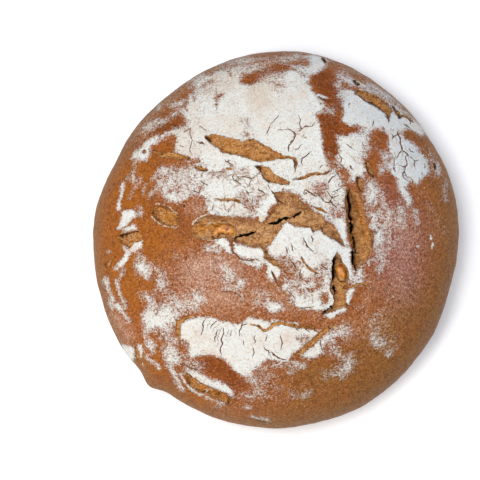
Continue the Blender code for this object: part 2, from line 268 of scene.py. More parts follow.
# fine cracks in the floured crust: half width, the line that they follow
cracks = [
    # crown
    (0.4, [(4.6, 60.5), (7.6, 61.1), (10.6, 58.9), (11.2, 56.1), (9.3, 53), (7.8, 51.1), (7, 47.5)]),
    (0.35, [(11.8, 59.2), (14.8, 60.8), (17.8, 63.7)]),
    (0.3, [(0.4, 60.8), (4.6, 60.5)]),
    (0.3, [(-3.8, 63.6), (0.4, 68), (1.8, 71.2)]),
    (0.3, [(11.1, 48.3), (15.3, 51.8)]),
    (0.3, [(-50.1, 64.2), (-50.7, 59.7), (-49.6, 55.2), (-50.9, 49.6), (-49.1, 46.4)]),
    (0.3, [(-47, 54.4), (-42.2, 52.4)]),
    (0.35, [(-45.3, 63.9), (-40.7, 60.9)]),
    (0.3, [(-23, 32.2), (-18.2, 32.7), (-15.2, 31.5), (-12.2, 32.4)]),
    (0.3, [(-24.2, 31.6), (-20.6, 27.6)]),
    (0.45, [(10.6, 58), (10, 55), (7.6, 52.4), (6.8, 48.4)]),
    (0.3, [(-57, 52.5), (-54, 51.4)]),
    (0.35, [(-45, 54.4), (-43.4, 54), (-42, 52.2)]),
    (0.3, [(-38, 35.2), (-34, 35.7), (-30, 35.4)]),
    (0.35, [(-30.4, 43), (-28, 41), (-26, 40)]),
    (0.3, [(-25, 34), (-25.6, 32), (-24.4, 30)]),
    (0.35, [(-20, 27), (-18, 26.4)]),
    (0.3, [(-15.4, 29), (-16, 26.4)]),
    (0.35, [(-44, 31), (-43, 29), (-40, 27.8)]),
    (0.35, [(-50, 25), (-47, 24), (-45, 23.6)]),
    (0.3, [(-17.4, 24), (-16, 21)]),
    (0.35, [(-37, 15), (-37.6, 12.4)]),
    (0.35, [(-35, 12), (-33.4, 11)]),
    (0.35, [(-27.4, 13), (-28.6, 11.4)]),
    (0.3, [(-14.2, 20), (-13.8, 16.4)]),
    (0.3, [(20.4, 90), (19, 90.2)]),
    (0.35, [(41, 53), (43, 51), (45, 49.8)]),
    (0.35, [(50.4, 54), (51.6, 51.4)]),
    (0.35, [(43, 77), (43.8, 79)]),
    (0.3, [(14.8, 60.8), (17, 62.6), (21, 63), (23, 65.4)]),
    (0.3, [(13, 70), (14.4, 66.6), (13.6, 63.4), (15, 61)]),
    (0.3, [(-6, 58), (-4.4, 61), (-3.8, 63.6)]),
    # between the middle tears
    (0.4, [(9.8, 43.4), (10.8, 41), (10.3, 38.4), (11, 36)]),
    (0.45, [(20.4, 48), (17, 44.4), (15, 43), (14.4, 41), (15.6, 39.4)]),
    (0.5, [(-10.8, 25.2), (-9, 24), (-7, 23)]),
    (0.35, [(-5, 28), (-4, 25.4)]),
    (0.65, [(-3, 24), (-1.4, 22)]),
    (0.4, [(29, 34.6), (31.4, 37)]),
    (0.6, [(17.4, 25), (19, 23.4), (21, 22), (22.4, 20.6)]),
    (0.35, [(15.6, 23.2), (16.8, 24.4), (18.2, 24.2)]),
    (0.4, [(32.4, 19.8), (31.4, 18.4), (30.8, 17)]),
    (0.35, [(35, 24.6), (36.6, 25.6), (37.6, 26)]),
    (0.35, [(36.2, 27.4), (36.8, 28.8)]),
    (0.4, [(27, 19), (28.6, 17)]),
    (0.35, [(34.2, 35.8), (35.6, 35), (36.8, 33.4)]),
    (0.4, [(15.4, 21.4), (18, 22.4)]),
    (0.4, [(22, 23.4), (24, 22.4), (26, 20.4), (28, 18.4)]),
    (0.4, [(29.4, 24.8), (30.4, 22.4), (32, 20.7), (34, 20.3), (37, 22)]),
    (0.35, [(33, 23.4), (36, 25)]),
    (0.6, [(28.4, 17.2), (30.8, 17.4), (32.2, 17.4), (33.4, 15.6), (35.2, 14.2)]),
    (0.4, [(38, 18), (40, 18.3)]),
    (0.5, [(43, 39.8), (44.4, 37.4)]),
    (0.35, [(27, 39.4), (25.4, 37.4)]),
    (0.4, [(36.6, 46), (38.4, 43.6), (38, 41)]),
    (0.55, [(30, 28.2), (31.2, 30.6), (32.6, 32.4), (34.6, 33.6)]),
    # plate below the middle tear
    (0.45, [(15.5, -3.6), (17.3, -7.8), (19.7, -10.7), (21.8, -12.2)]),
    (0.35, [(16.7, -32.1), (19.7, -35.6)]),
    (0.4, [(20, -2.4), (21.4, -4.4), (20.8, -6)]),
    (0.35, [(8.4, -7), (9, -10), (9.4, -12)]),
    (0.35, [(5.4, -9), (6.4, -13.4)]),
    (0.5, [(8.4, -16.8), (10, -19), (11.4, -22)]),
    (0.4, [(14.4, -22), (13.4, -24), (13.8, -26.4), (15.4, -28.4)]),
    (0.45, [(26, -19.4), (28, -21), (30, -22.4)]),
    (0.3, [(5.4, -33), (8, -36), (11, -39.4)]),
    (0.4, [(13, -44.4), (17.4, -44.2), (22, -43.4)]),
    (0.45, [(26, -47.4), (28, -47), (29.4, -45)]),
    (0.45, [(-3, -23), (-1.6, -26.4), (0, -30)]),
    (0.45, [(40.4, -41), (41.6, -43)]),
    (0.4, [(40, -31), (39.4, -33), (42.4, -33.4)]),
    (0.35, [(55.4, 8), (56.4, 10)]),
    # below the left lobe of the middle tear
    (0.5, [
        (-28, -5), (-26.2, -7), (-26, -11), (-24, -13.4), (-22, -15), (-20, -16.4), (-16, -17),
        (-13, -16), (-9, -17)]),
    (0.35, [(-32, -34.4), (-28, -35)]),
    (0.35, [(-25, -35), (-22, -37), (-20, -39)]),
    (0.6, [(-52, -13.4), (-53, -16.4)]),
    (0.3, [(-53, -18), (-51, -22), (-50, -25)]),
    # lower patch, mostly short strokes down the slope
    (0.4, [(-41, -50.4), (-42.8, -53), (-42.4, -55.6), (-44, -59.4)]),
    (0.4, [(-34.8, -51.6), (-37, -53.4), (-38.6, -55.6)]),
    (0.35, [(-34, -56), (-35, -58.8), (-36.2, -61.6), (-35.8, -64)]),
    (0.5, [(-31.2, -55.4), (-30.8, -58.6), (-32, -61.6), (-31.6, -64.8), (-33, -67.6), (-32.2, -71)]),
    (0.4, [(-16.8, -53.4), (-20, -54.6), (-21.6, -57.6), (-21.8, -60.8)]),
    (0.35, [(-19.4, -63), (-19.2, -65.8)]),
    (0.4, [(-12.6, -60), (-13.2, -62.2), (-12, -63.2), (-13.2, -65)]),
    (0.35, [(-13.8, -66.6), (-13, -69.2), (-13.8, -72.6)]),
    (0.35, [(-5.4, -60), (-6.4, -63.8)]),
    (0.4, [(2.4, -60.4), (3.4, -64.4), (2.2, -68.4)]),
    (0.4, [(-7.6, -66.4), (-6.4, -68.6), (-4.6, -69), (-4.4, -71.2)]),
    (0.5, [(-3, -69.4), (-1.2, -71.8), (2.4, -73.8), (6, -74.2)]),
    (0.35, [(11, -56), (12.8, -57.6)]),
    (0.35, [(17.4, -56.6), (19.2, -58.4)]),
    (0.4, [(25.2, -62.4), (25.8, -66), (26.8, -69)]),
    (0.35, [(36, -75), (40, -74.4)]),
    (0.4, [(-55, -76), (-51, -78), (-44, -80.4)]),
    (0.3, [(-26, -57), (-26.8, -60.6)]),
    # right-hand patch
    (0.6, [(72.6, 60.4), (74, 57.6), (73.6, 54.4), (74.6, 51.8), (74.2, 50)]),
    (0.55, [(74.2, 50), (76.4, 49.2), (78.4, 47.2)]),
    (0.4, [(74.2, 50), (72.4, 48), (71.8, 46.2), (71, 45)]),
    (0.45, [(76.4, 47.6), (76.8, 44.4), (77.6, 41.4), (75.2, 40.4), (72, 41)]),
    (0.45, [(77.6, 41.4), (76, 39.4), (75.8, 37), (77, 34.6)]),
    (0.45, [(68.6, 60), (69.6, 58.6), (68.6, 57)]),
    (0.45, [(69.6, 58.6), (71.8, 60), (72.6, 62.4)]),
    (0.35, [(68.6, 47), (69.4, 44), (70, 40)]),
    (0.45, [(68.6, 39.6), (70.4, 37)]),
    (0.4, [(82.4, 44.4), (81.6, 42.6), (82.4, 40)]),
    (0.3, [(78.4, 52), (80, 50), (82.4, 49.4)]),
    (0.3, [(78.4, 47.2), (80.4, 45.4), (82.4, 44.4), (85, 45)]),
    (0.35, [(87.4, 43.4), (88.6, 42), (88, 40)]),
    (0.35, [(86.6, 37.6), (86.2, 36)]),
    (0.3, [(77, 34.6), (79.6, 33.6), (81, 32)]),
    (0.35, [(75, 37.6), (74.2, 35), (76.4, 32), (77.6, 31.2)]),
    (0.4, [(75.2, 28), (77.8, 25.8)]),
    (0.45, [(79.8, 19), (80.8, 19.8)]),
    (0.35, [(70, 14), (70, 11)]),
    (0.5, [(76.4, 67.6), (77.8, 66)]),
    (0.5, [(77.6, 67.4), (79.6, 65.4), (80.2, 64.4)]),
    (0.5, [(80, 67.8), (80.6, 69.2), (79, 71)]),
    (1.0, [(87.2, 58.8), (87.6, 57)]),
    (0.35, [(58, 68.2), (56.9, 64.1)]),
    (0.45, [(64.5, 71.7), (66.8, 69.3), (67, 66.9)]),
    (0.35, [(43.5, 40.1), (45.1, 36.8)]),
]

# Where flour lies, and how the oven coloured the crust.
# Painted in this order, like strokes of a brush. Each row: how much (0 none, 1 full), how soft its edge is,
# its half width (none for a closed area), and the line or outline that it follows.
paint = {
    "flour": [
        # upper left, in bands along the rim
        (0.12, 4, 6, [(-84, 60), (-76, 70), (-64, 82), (-50, 93), (-38, 102)]),
        (0.85, 1.2, None, [
            (-58, 56), (-58, 64), (-53, 68), (-56, 75), (-52, 84), (-46, 86), (-46, 96), (-40, 98),
            (-30, 101), (-20, 101), (-8, 104), (0, 106), (12, 108), (22, 110), (22, 96), (21, 86),
            (25, 82), (28, 76), (25, 70), (27, 60), (28, 48), (32, 38), (38, 38), (44, 30), (40, 26),
            (40, 8), (34, 4), (26, 10), (18, 16), (12, 22), (2, 24), (-4, 10), (-12, 8), (-24, 9),
            (-38, 11), (-42, 18), (-48, 22), (-58, 18), (-65, 20), (-67, 28), (-71, 33), (-66, 38),
            (-54, 39), (-50, 44), (-58, 48)]),
        (0.6, 2.2, None, [
            (-70, 33), (-66, 39), (-54, 41), (-42, 40), (-38, 33), (-44, 24), (-58, 20), (-68, 24)]),
        (0.7, 1.6, 2, [(-76, 66), (-70, 68), (-65, 70), (-60, 73), (-56, 76)]),
        (0.4, 1.6, 1.4, [(-77, 61), (-73, 64), (-68, 68)]),
        (0.85, 1.5, 2, [(-77, 55.5), (-72, 57.5), (-66, 60), (-60, 62), (-56, 62)]),
        (0.2, 1.5, 1.5, [(-80, 69), (-78, 71)]),
        (0.0, 1.2, 1, [(-80, 56), (-74, 59), (-71, 60.5)]),
        (0.0, 1, 2, [(-68.5, 62.5), (-66, 63.5), (-63, 64.5)]),
        (0.05, 1.5, 1.9, [(-62, 65), (-59, 66.3), (-55, 66)]),
        (0.05, 1.5, 2.4, [(-78, 75), (-72, 74), (-66, 73), (-64, 72.5)]),
        (0.15, 1.5, 1, [(-64, 77), (-61, 77), (-57, 77), (-53, 79)]),
        (0.45, 1, 0.9, [(-71, 78), (-70.5, 81)]),
        (0.7, 1.5, 1.5, [(-61, 79.5), (-57, 80)]),
        (0.08, 2.5, 4, [(-62, 86), (-57, 88), (-53, 90.5), (-49, 90)]),
        (0.1, 1, 1.2, [(-47.5, 91), (-47, 87.5)]),
        # crown
        (1.0, 5, None, [
            (-46, 60), (-38, 76), (-24, 92), (-16, 90), (-4, 88), (8, 92), (18, 90), (20, 80), (22, 68),
            (24, 50), (12, 46), (-6, 52), (-24, 58)]),
        (0.72, 3, 5, [(-46, 94), (-40, 86), (-36, 94), (-28, 100), (-20, 100)]),
        (0.5, 3, 4, [(-24, 106), (-8, 108), (8, 108), (20, 107)]),
        (0.3, 3, 3, [(-48, 99), (-38, 103.5), (-28, 107)]),
        (0.1, 1, 1, [(-42.5, 91), (-40, 92), (-37.5, 93)]),
        (0.05, 1, 1.3, [(-34, 82), (-31.5, 83.3)]),
        (0.15, 0.6, 0.5, [(-35.3, 85), (-35, 80), (-34.8, 72.5)]),
        (0.1, 0.6, 0.6, [(-28.4, 99.4), (-26.9, 96.6)]),
        (0.1, 0.6, 0.5, [(-39.3, 99.5), (-38.2, 97.5)]),
        (0.15, 0.5, 0.5, [(-53, 82), (-53, 80.5)]),
        (0.15, 0.5, 0.5, [(-48.8, 83), (-48.2, 81)]),
        (0.15, 0.5, 0.5, [(-53.2, 76.5), (-52.7, 74)]),
        (0.2, 0.6, 0.8, [(-53, 61.2), (-51, 62.2)]),
        (0.3, 0.5, 0.4, [(-43.3, 74), (-42.2, 75)]),
        (0.45, 2.5, 2, [(-18, 66), (-17, 62), (-16, 57)]),
        (0.05, 2, 4, [(-16, 93), (-12, 95), (-6, 98), (1, 100)]),
        (0.1, 1.8, 2.4, [(0, 99.5), (8, 102.5), (14, 104), (19, 103.5)]),
        (0.0, 1.5, 2, [(-15.5, 92.5), (-12, 94.5)]),
        (0.3, 1.2, 0.8, [(9, 100), (13, 98), (17, 96), (22, 95.5)]),
        (0.45, 2.5, 3, [(-6, 94), (0, 92), (2, 88)]),
        (0.12, 1.5, 2.6, [(-13, 112), (-6, 110), (3, 111)]),
        (1.0, 1.2, None, [
            (20.5, 98), (24, 96), (28, 99.5), (31, 104), (34, 107.5), (27, 110), (22, 110.5),
            (21, 104)]),
        # the brown strip that runs down from the top
        (0.15, 3, 6, [(36, 103), (46, 98), (56, 95), (66, 89), (76, 80)]),
        (0.0, 1, None, [
            (20.5, 95.5), (25, 96.5), (29, 99), (32, 101.5), (36, 101), (37, 98), (36, 94), (37, 90.5),
            (35, 88), (34, 85), (35.5, 82), (38, 80), (39.5, 77), (39, 73.5), (37, 71), (37.5, 68),
            (40, 65), (43, 62.5), (46, 63.5), (48, 61.5), (46, 59), (42, 57.5), (38, 56), (36.5, 52),
            (36, 48), (35, 44), (33.5, 40), (31, 37.5), (29.5, 42), (28.5, 48), (27.5, 52), (27, 56),
            (26.5, 60), (26, 64), (24.5, 66.5), (23.5, 70), (25, 71.5), (28, 70.5), (29, 73), (31, 74.5),
            (30, 76.5), (27, 77.5), (25.5, 80), (25, 83), (22, 85), (21, 88), (19, 90), (20.5, 93)]),
        (0.5, 1.5, 1.8, [(30, 73.5), (33, 72), (34, 74.5)]),
        (0.9, 0.6, 0.8, [(26, 83.3), (28, 82), (30, 80.8)]),
        (0.6, 0.6, 0.6, [(26.5, 79.5), (28.5, 77.6)]),
        (0.3, 1.5, 1.2, [(31, 45), (32, 40)]),
        # right of the strip
        (0.98, 1.2, None, [
            (38.5, 66.5), (40, 73), (40.5, 79), (38.5, 84), (42, 88), (47, 86), (50, 84), (54, 80.5),
            (59, 77.5), (64, 74), (66.5, 70), (70, 78), (66, 83), (60, 87), (54, 91), (60, 90), (68, 85),
            (76, 77), (84, 72), (90, 64), (88, 61), (84, 63), (78, 64.5), (74, 63), (66, 62), (58, 62.5),
            (52, 63), (47, 64.5), (43, 64)]),
        (0.55, 2, 2, [(37, 92), (38.5, 86), (39.5, 81)]),
        (0.8, 1.5, 1.8, [(38, 97), (42, 95), (46, 92), (52, 90), (56, 88.5)]),
        (0.45, 2, 1.5, [(39, 99), (42, 98)]),
        (0.4, 2, 3.4, [(56, 91), (64, 86), (72, 80)]),
        (0.4, 1.5, 1.6, [(72, 74), (77, 74.5), (82, 71)]),
        (0.98, 1.2, None, [
            (66, 62), (74, 62.5), (76, 57.5), (80, 56), (83, 54), (85, 51), (88, 49), (90, 46.5),
            (92, 45), (90, 42), (90.5, 38), (88, 35.5), (86, 33), (84, 30), (81, 31.5), (78, 30),
            (76.5, 28), (78, 25.5), (79.5, 22), (80, 18), (79, 16.5), (77.5, 18), (75.5, 22), (72.5, 26),
            (71, 30), (70, 34), (68.5, 37), (66, 40), (68, 44), (66.5, 47), (66.5, 52), (66, 57)]),
        (0.97, 1.5, None, [
            (36.5, 57), (40, 57.5), (45, 58.5), (50, 61), (54, 62), (55, 57), (53, 52), (50.5, 48),
            (50, 44), (51.5, 40), (52, 36), (50, 33), (47, 33), (45.5, 30), (44, 33), (42, 37), (38, 40),
            (35.5, 42), (37, 48)]),
        (0.6, 2, 3, [(53, 60), (54, 53), (52, 47)]),
        (0.06, 1.8, None, [
            (56, 57), (58, 60.5), (62, 61.3), (64.5, 58), (65.5, 52.5), (65, 48), (60, 47), (56.5, 50),
            (55.5, 54)]),
        (0.3, 0.8, 0.8, [(63.3, 63.8), (64, 63)]),
        (0.45, 2, 1.2, [(86, 52.5), (88, 53.5)]),
        (0.35, 2.5, 3, [(93, 49), (95, 40)]),
        (0.7, 1.2, 1, [(96.3, 44), (97.5, 38)]),
        (0.55, 2, 2.4, [(64.5, 47), (64, 42), (63, 38)]),
        (0.7, 2.2, None, [
            (53, 31), (57, 31), (61, 27), (62, 22), (60, 18), (56, 16), (52, 16), (52, 24)]),
        (0.8, 2, None, [
            (54.5, 12), (58, 13), (62.5, 12), (61, 9), (62, 6), (60, 3), (58, 1), (55, 2), (54, 6)]),
        (0.45, 4, 3, [(64, 16), (68, 12), (72, 14)]),
        (0.5, 2, 1.6, [(73, 14), (74.5, 6)]),
        (0.5, 1.5, 1.2, [(82.5, 13.5), (83.3, 7)]),
        (0.4, 5, 6, [(66, 6), (64, -4)]),
        (0.9, 1.2, 1.8, [(59.5, -1), (60, -4.5)]),
        (0.55, 2, 2, [(58, -8), (62, -14), (60, -22)]),
        (0.35, 1.5, 1.2, [(100, 30), (101, 22)]),
        (0.35, 1.5, 1.2, [(99, 5), (99.5, 3)]),
        (0.35, 1.5, 1.2, [(101, 34), (102, 32)]),
        # between the crown tear and the middle tear
        (1.0, 2.5, None, [
            (-57, 58), (-46, 60), (-40, 55), (-33, 48), (-22, 45), (-14, 42), (-10, 38), (-16, 33),
            (-24, 38), (-30, 42), (-42, 44), (-50, 46), (-58, 50)]),
        (1.0, 2, None, [
            (-38, 31), (-26, 33), (-14, 32), (-8, 27), (-10, 24), (-18, 24), (-24, 20), (-37, 21)]),
        (1.0, 1.2, None, [(-39, 18), (-25, 18), (-20, 15.5), (-14, 10), (-24, 9.5), (-38, 11)]),
        (0.15, 2, 1.8, [(-60, 39.5), (-52, 41), (-46, 43)]),
        (0.4, 1.5, 1, [(-28, 42.5), (-25, 40), (-24, 37)]),
        (0.35, 1.5, 1.2, [(-20, 36.8), (-17, 36)]),
        (0.3, 1.5, 1.5, [(-37, 33.8), (-34, 33), (-30, 34.8)]),
        (0.3, 1, 0.8, [(-52, 28), (-52, 26.5)]),
        (0.35, 1, 0.7, [(-46, 26), (-42.5, 26.6)]),
        (0.12, 2, None, [
            (-51, 21), (-46, 22), (-42, 20), (-42, 16), (-44, 12), (-45, 10.5), (-48, 9), (-53, 8),
            (-55, 13), (-52, 17)]),
        (0.2, 1.5, 1.6, [(-20.5, 22), (-18, 18), (-17, 15)]),
        (0.2, 1.5, 1.5, [(-14.5, 11.5), (-12.5, 16), (-10.5, 20.5), (-7.5, 22)]),
        (1.0, 0.7, None, [
            (-10, 9), (-9, 13), (-6, 18), (-3, 20.6), (0.5, 20), (-1.5, 16), (-4.5, 12), (-7, 9)]),
        (0.0, 1, 1.3, [(-4, 11.5), (-2, 15)]),
        (0.2, 2.0, None, [
            (21, 25), (23, 28), (26, 30), (28.5, 29.8), (29, 26), (28.8, 22.5), (27, 21), (24, 22)]),
        (0.22, 2.2, None, [
            (31, 14), (35, 15.5), (40, 14.5), (40.5, 10), (38, 7), (35, 5.5), (33, 7.5), (31.5, 10.5)]),
        (0.1, 1.3, None, [
            (35, 37), (38, 38.5), (41, 37), (43, 34), (43.5, 30), (45, 26), (41.5, 26), (39.5, 27),
            (38.5, 31), (36.5, 33.5)]),
        (1.0, 0.8, None, [(33, 6), (37, 8), (40, 6), (41, 0), (41.5, -8), (38, -6), (36, 0)]),
        (1.0, 0.5, 0.8, [(22.6, 12.9), (26.4, 11.9)]),
        # plate below the middle tear
        (0.5, 5, None, [
            (-6, -14), (6, -20), (8, -30), (10, -42), (26, -44), (32, -30), (30, -16), (10, -10)]),
        (1.0, 1, None, [
            (3, 4), (6, 5.5), (12, 3), (20, 2.5), (21, 0), (25, 0.5), (28, -2), (34, -5), (38, -8),
            (41, -9), (43, -11), (43.5, -16), (44, -20), (45, -25), (44, -29), (42, -29), (41.5, -24),
            (39, -19), (37, -14), (35, -11.5), (33.5, -14), (32, -18), (31, -22), (29.5, -18), (25, -18),
            (20, -21), (16, -18.5), (13, -15), (11, -17), (8, -14), (4, -12), (0, -14), (-4, -13),
            (-5, -9), (-3, -6), (0, -1)]),
        (1.0, 1, None, [(15, -20.5), (20, -23.5), (24.5, -25.5), (22, -27), (17, -26.5), (14.3, -24)]),
        (0.75, 2, 2.2, [(28, -20), (29, -28), (30.5, -33)]),
        (0.35, 1.2, 1, [(27, -21.5), (29.5, -17)]),
        (0.1, 1.5, 1.4, [(6.5, -27), (9, -28.5)]),
        (0.15, 1.5, 1.3, [(14.5, -28), (18.5, -29)]),
        (0.12, 2, 1.8, [(23, -26.8), (24.5, -31)]),
        (0.6, 3, 2.5, [(7, -31), (9, -36), (14, -38)]),
        (0.7, 1.5, 1.2, [(10, -30), (15, -32.5), (20, -31)]),
        (0.2, 1.2, 1.2, [(12, -34.5), (14, -35.5)]),
        (0.2, 1.2, 1.2, [(20.5, -34.5), (22.5, -35.5)]),
        (0.85, 1.5, 1.4, [(6, -33), (8, -36), (12, -39), (17, -40), (22, -37.5), (25.5, -35)]),
        (1.0, 1, 1.7, [(13, -42.2), (18, -42.6), (24, -41.6)]),
        (1.0, 1, None, [(-6, -41), (0, -40.3), (3, -42), (4, -45), (0, -46.5), (-5, -45.5)]),
        (0.05, 2.5, 2.5, [(-1, -38), (5, -39)]),
        (0.12, 1.2, 2, [(28, -38), (28, -41.5)]),
        (1.0, 0.7, 1.1, [(31.3, -34), (33, -38), (32.3, -41), (30, -43.5), (26, -44.3), (22, -43.7)]),
        (1.0, 0.7, 1.2, [(29, -47.6), (31.5, -48.8), (35.5, -47.2), (39.5, -45)]),
        (1.0, 0.7, 1.3, [(43.3, -34), (42.2, -37.5), (41.5, -40.5)]),
        (0.7, 1.5, None, [
            (46, -24), (49, -20), (52, -17), (56, -14.5), (58, -15), (54, -18), (51, -21), (52, -27),
            (48, -28.5), (45.5, -27)]),
        (0.75, 1.5, 1.5, [(44.5, -31), (48, -29)]),
        (0.1, 1.5, 2, [(53.5, -21), (54, -26)]),
        # below the left lobe of the middle tear
        (1.0, 0.8, None, [
            (-36, -4), (-31, -3), (-27.5, -6), (-26, -12), (-28, -12.5), (-31, -9.5), (-35, -7)]),
        (0.8, 1.5, 1.5, [(-41, -9), (-37, -9), (-34, -11)]),
        (1.0, 0.8, None, [
            (-24.5, -7), (-20, -8), (-14, -9.3), (-8, -9.6), (-7.5, -14), (-10, -15.5), (-15, -16),
            (-21, -14.5), (-24, -12)]),
        (0.9, 1, 0.8, [(-20, -17.2), (-15, -18.6), (-10, -18)]),
        (0.75, 1.5, 1.6, [(-12, -19.5), (-8, -17), (-4, -18.5)]),
        (1.0, 1, None, [
            (-4.5, -20), (-2, -18.5), (1, -20), (2, -24), (0, -28), (-3, -28), (-6, -26), (-6, -23)]),
        (0.35, 3, 4, [(-34, -21), (-27, -25)]),
        (0.6, 2, 2, [(-28, -24), (-29, -28)]),
        (0.75, 1.5, 1.5, [(-24, -32), (-21, -31), (-20, -29)]),
        (0.5, 1.5, 1.2, [(-27, -33.5), (-31, -33)]),
        (0.45, 1.5, 1.2, [(-22, -36), (-20, -39)]),
        (0.6, 2, 1.8, [(-11, -36), (-11.5, -43)]),
        (0.6, 1.5, 1.3, [(-6, -37), (-5, -43)]),
        # left side
        (0.88, 1.3, None, [
            (-86, 47), (-84, 50), (-80, 53), (-76, 56), (-72, 58), (-71, 55), (-74, 52.5), (-75.2, 48),
            (-77, 44.5), (-80, 44), (-83, 45.5)]),
        (0.4, 1.5, 1.4, [(-83, 44), (-83, 41), (-85, 38), (-88, 35)]),
        (0.7, 1.2, 1.2, [(-84, 36), (-84, 33)]),
        (0.95, 0.8, 1, [(-90.7, 31), (-91, 28), (-91.8, 25), (-92.2, 23)]),
        (0.95, 0.8, 1.1, [(-92.7, 20.5), (-93, 16.5)]),
        (0.5, 1, 0.8, [(-79, 34), (-82, 30), (-84, 26), (-86, 22)]),
        (0.35, 1, 0.7, [(-75, 30), (-78, 28), (-78, 24)]),
        (0.5, 1.1, 1, [(-62, 38.5), (-67, 37.8), (-70.5, 36), (-73.5, 33.5)]),
        (0.1, 1.2, 1.1, [(-75, 30.5), (-70, 32.5), (-66, 33.3)]),
        (0.4, 1.1, 1, [(-66, 31), (-70, 29), (-72, 26), (-74.5, 22)]),
        (0.25, 1.5, 1, [(-61, 25), (-57.5, 25.5)]),
        (1.0, 0.8, None, [
            (-94, 4), (-91.5, 9), (-91, 13), (-87.5, 15.3), (-84, 14.5), (-83.5, 12), (-81, 11),
            (-84, 9.7), (-87, 7), (-90, 4.5)]),
        (0.97, 0.7, None, [(-91, 3.2), (-87, 5.2), (-83, 6), (-81.5, 3), (-81.5, 2), (-88, 2.6)]),
        (0.5, 1.5, 1.5, [(-79, 12), (-80, 16)]),
        (0.5, 0.8, 0.5, [(-100, -8), (-98, -10)]),
        (1.0, 0.7, None, [(-79, -3.5), (-79.5, -8), (-83, -10.7), (-86, -8.5), (-84, -6), (-81, -3.3)]),
        (0.95, 0.8, 0.9, [(-89, -7.8), (-86.5, -9.5)]),
        (1.0, 0.8, 1.5, [(-87.5, -11.5), (-90, -15), (-92.5, -17.3)]),
        (0.8, 0.8, 0.8, [(-95, -18.5), (-94, -20)]),
        (0.85, 2, None, [
            (-83, -17), (-78, -15), (-76, -18), (-73, -21), (-73, -24), (-75, -26.3), (-78, -25.5),
            (-81, -23), (-82, -20)]),
        (0.4, 2, 1.5, [(-81, -11.5), (-79, -14)]),
        (0.45, 3, 3, [(-69, -22), (-67, -27)]),
        (0.65, 1.2, 1.2, [(-70, -29.5), (-67, -29.5)]),
        (0.45, 1.5, 1, [(-70, -33), (-66, -32)]),
        (0.88, 1.3, 1.1, [(-101, -26), (-100, -30), (-98.5, -34), (-96, -38), (-93, -42)]),
        (0.8, 1, 1.1, [(-93, -42), (-90, -46), (-87.5, -50)]),
        (0.75, 0.9, 0.8, [(-94, -26), (-93.5, -29), (-92, -33), (-90.5, -37), (-89, -42)]),
        (0.5, 1, 0.8, [(-90, -21.5), (-91.5, -24.5)]),
        (0.7, 1, 0.9, [(-99, -39), (-96.5, -42)]),
        (0.65, 2.5, 2.6, [(-77, -36.5), (-73.5, -38), (-73, -43)]),
        (0.4, 2.5, 2, [(-66, -35), (-62, -37)]),
        (0.84, 1.9, None, [
            (-78, -47), (-74, -45), (-72, -46.5), (-68, -45), (-65, -41), (-62, -42), (-60, -45),
            (-57, -48), (-59, -51), (-60, -55), (-63, -57), (-66, -56), (-72, -56), (-77, -57.5),
            (-78.5, -52)]),
        (0.6, 3, 4, [(-58, -42), (-52, -44), (-46, -38)]),
        (0.2, 0.8, 0.7, [(-64.5, -53.3), (-63, -53)]),
        (0.84, 1.4, None, [
            (-77, -60.5), (-74, -61), (-72, -64), (-71, -68), (-73, -69.5), (-76, -67), (-77.5, -64)]),
        (1.0, 0.8, None, [
            (-92, -63), (-88, -64), (-84, -65), (-83.8, -68), (-84, -71), (-85.5, -73), (-88, -70),
            (-90.5, -66.5)]),
        (0.95, 0.8, 1.2, [(-81, -65), (-79.8, -68), (-80.6, -71)]),
        (0.7, 0.8, 0.8, [(-76, -71), (-73, -74), (-70, -77), (-69, -79)]),
        (0.5, 2.5, 2.5, [(-66, -59), (-60, -63)]),
        (0.76, 1.9, None, [
            (-66, -66), (-63, -65.5), (-60, -67), (-58, -70), (-55, -73), (-58, -75.5), (-61, -76),
            (-64, -76), (-65.5, -73), (-66, -69)]),
        (0.85, 1.3, 1.1, [(-62, -77), (-61, -81), (-59.5, -84), (-57.5, -87), (-56, -90)]),
        # lower patch
        (1.0, 0.9, None, [
            (-56, -53), (-50, -50.5), (-44, -49.5), (-38, -50), (-32, -52), (-26, -53.5), (-20, -53.5),
            (-16, -50), (-12, -50), (-8, -52), (-3, -54), (3, -53), (10, -55), (16, -55.5), (22, -57),
            (25, -58.5), (20, -62), (15, -66), (11, -69.5), (8, -73), (7, -75), (2, -75), (-3, -74),
            (-8, -75.5), (-10, -79), (-13, -80), (-15, -83), (-19, -83), (-22, -82), (-25, -80),
            (-27, -76.5), (-30, -73.5), (-34, -71.5), (-39, -71), (-43, -71.5), (-47, -71), (-50, -72.5),
            (-52, -70), (-51, -65), (-53, -62), (-56, -62)]),
        (0.6, 2, 2, [(-16, -84), (-12, -88), (-11, -90)]),
        (0.25, 1.3, 1.5, [(-54, -64), (-52.5, -70)]),
        (0.5, 0.8, 0.5, [(-45, -67), (-41, -70)]),
        (0.25, 1, None, [(11, -60.5), (15, -60), (20, -60), (18, -63), (14, -64.5), (11.5, -63)]),
        (0.9, 1, 0.7, [(-2, -52), (6, -53.4), (12, -54.3)]),
        (0.45, 2.5, 2.5, [(-52, -76), (-46, -77)]),
        (0.85, 0.9, None, [
            (-54, -79), (-50, -79.5), (-44, -82), (-38, -84.5), (-33, -86.5), (-28, -89), (-25.5, -92),
            (-25, -95), (-28, -94), (-33, -91), (-40, -88.5), (-45, -86.5), (-49, -84), (-52.5, -81)]),
        (0.9, 0.6, 0.6, [(-56, -82), (-53.5, -86.5), (-49.5, -91), (-44, -93.5)]),
        (0.45, 1.5, 1.2, [(-42, -95.5), (-36, -98), (-31, -99)]),
        (0.92, 1, None, [
            (15, -71), (18, -68.5), (22, -66), (25, -63.5), (28, -60.5), (32, -58.5), (36, -57.5),
            (34, -61), (30, -63), (28, -66), (26.5, -70), (23, -72.5), (19, -74), (16, -73)]),
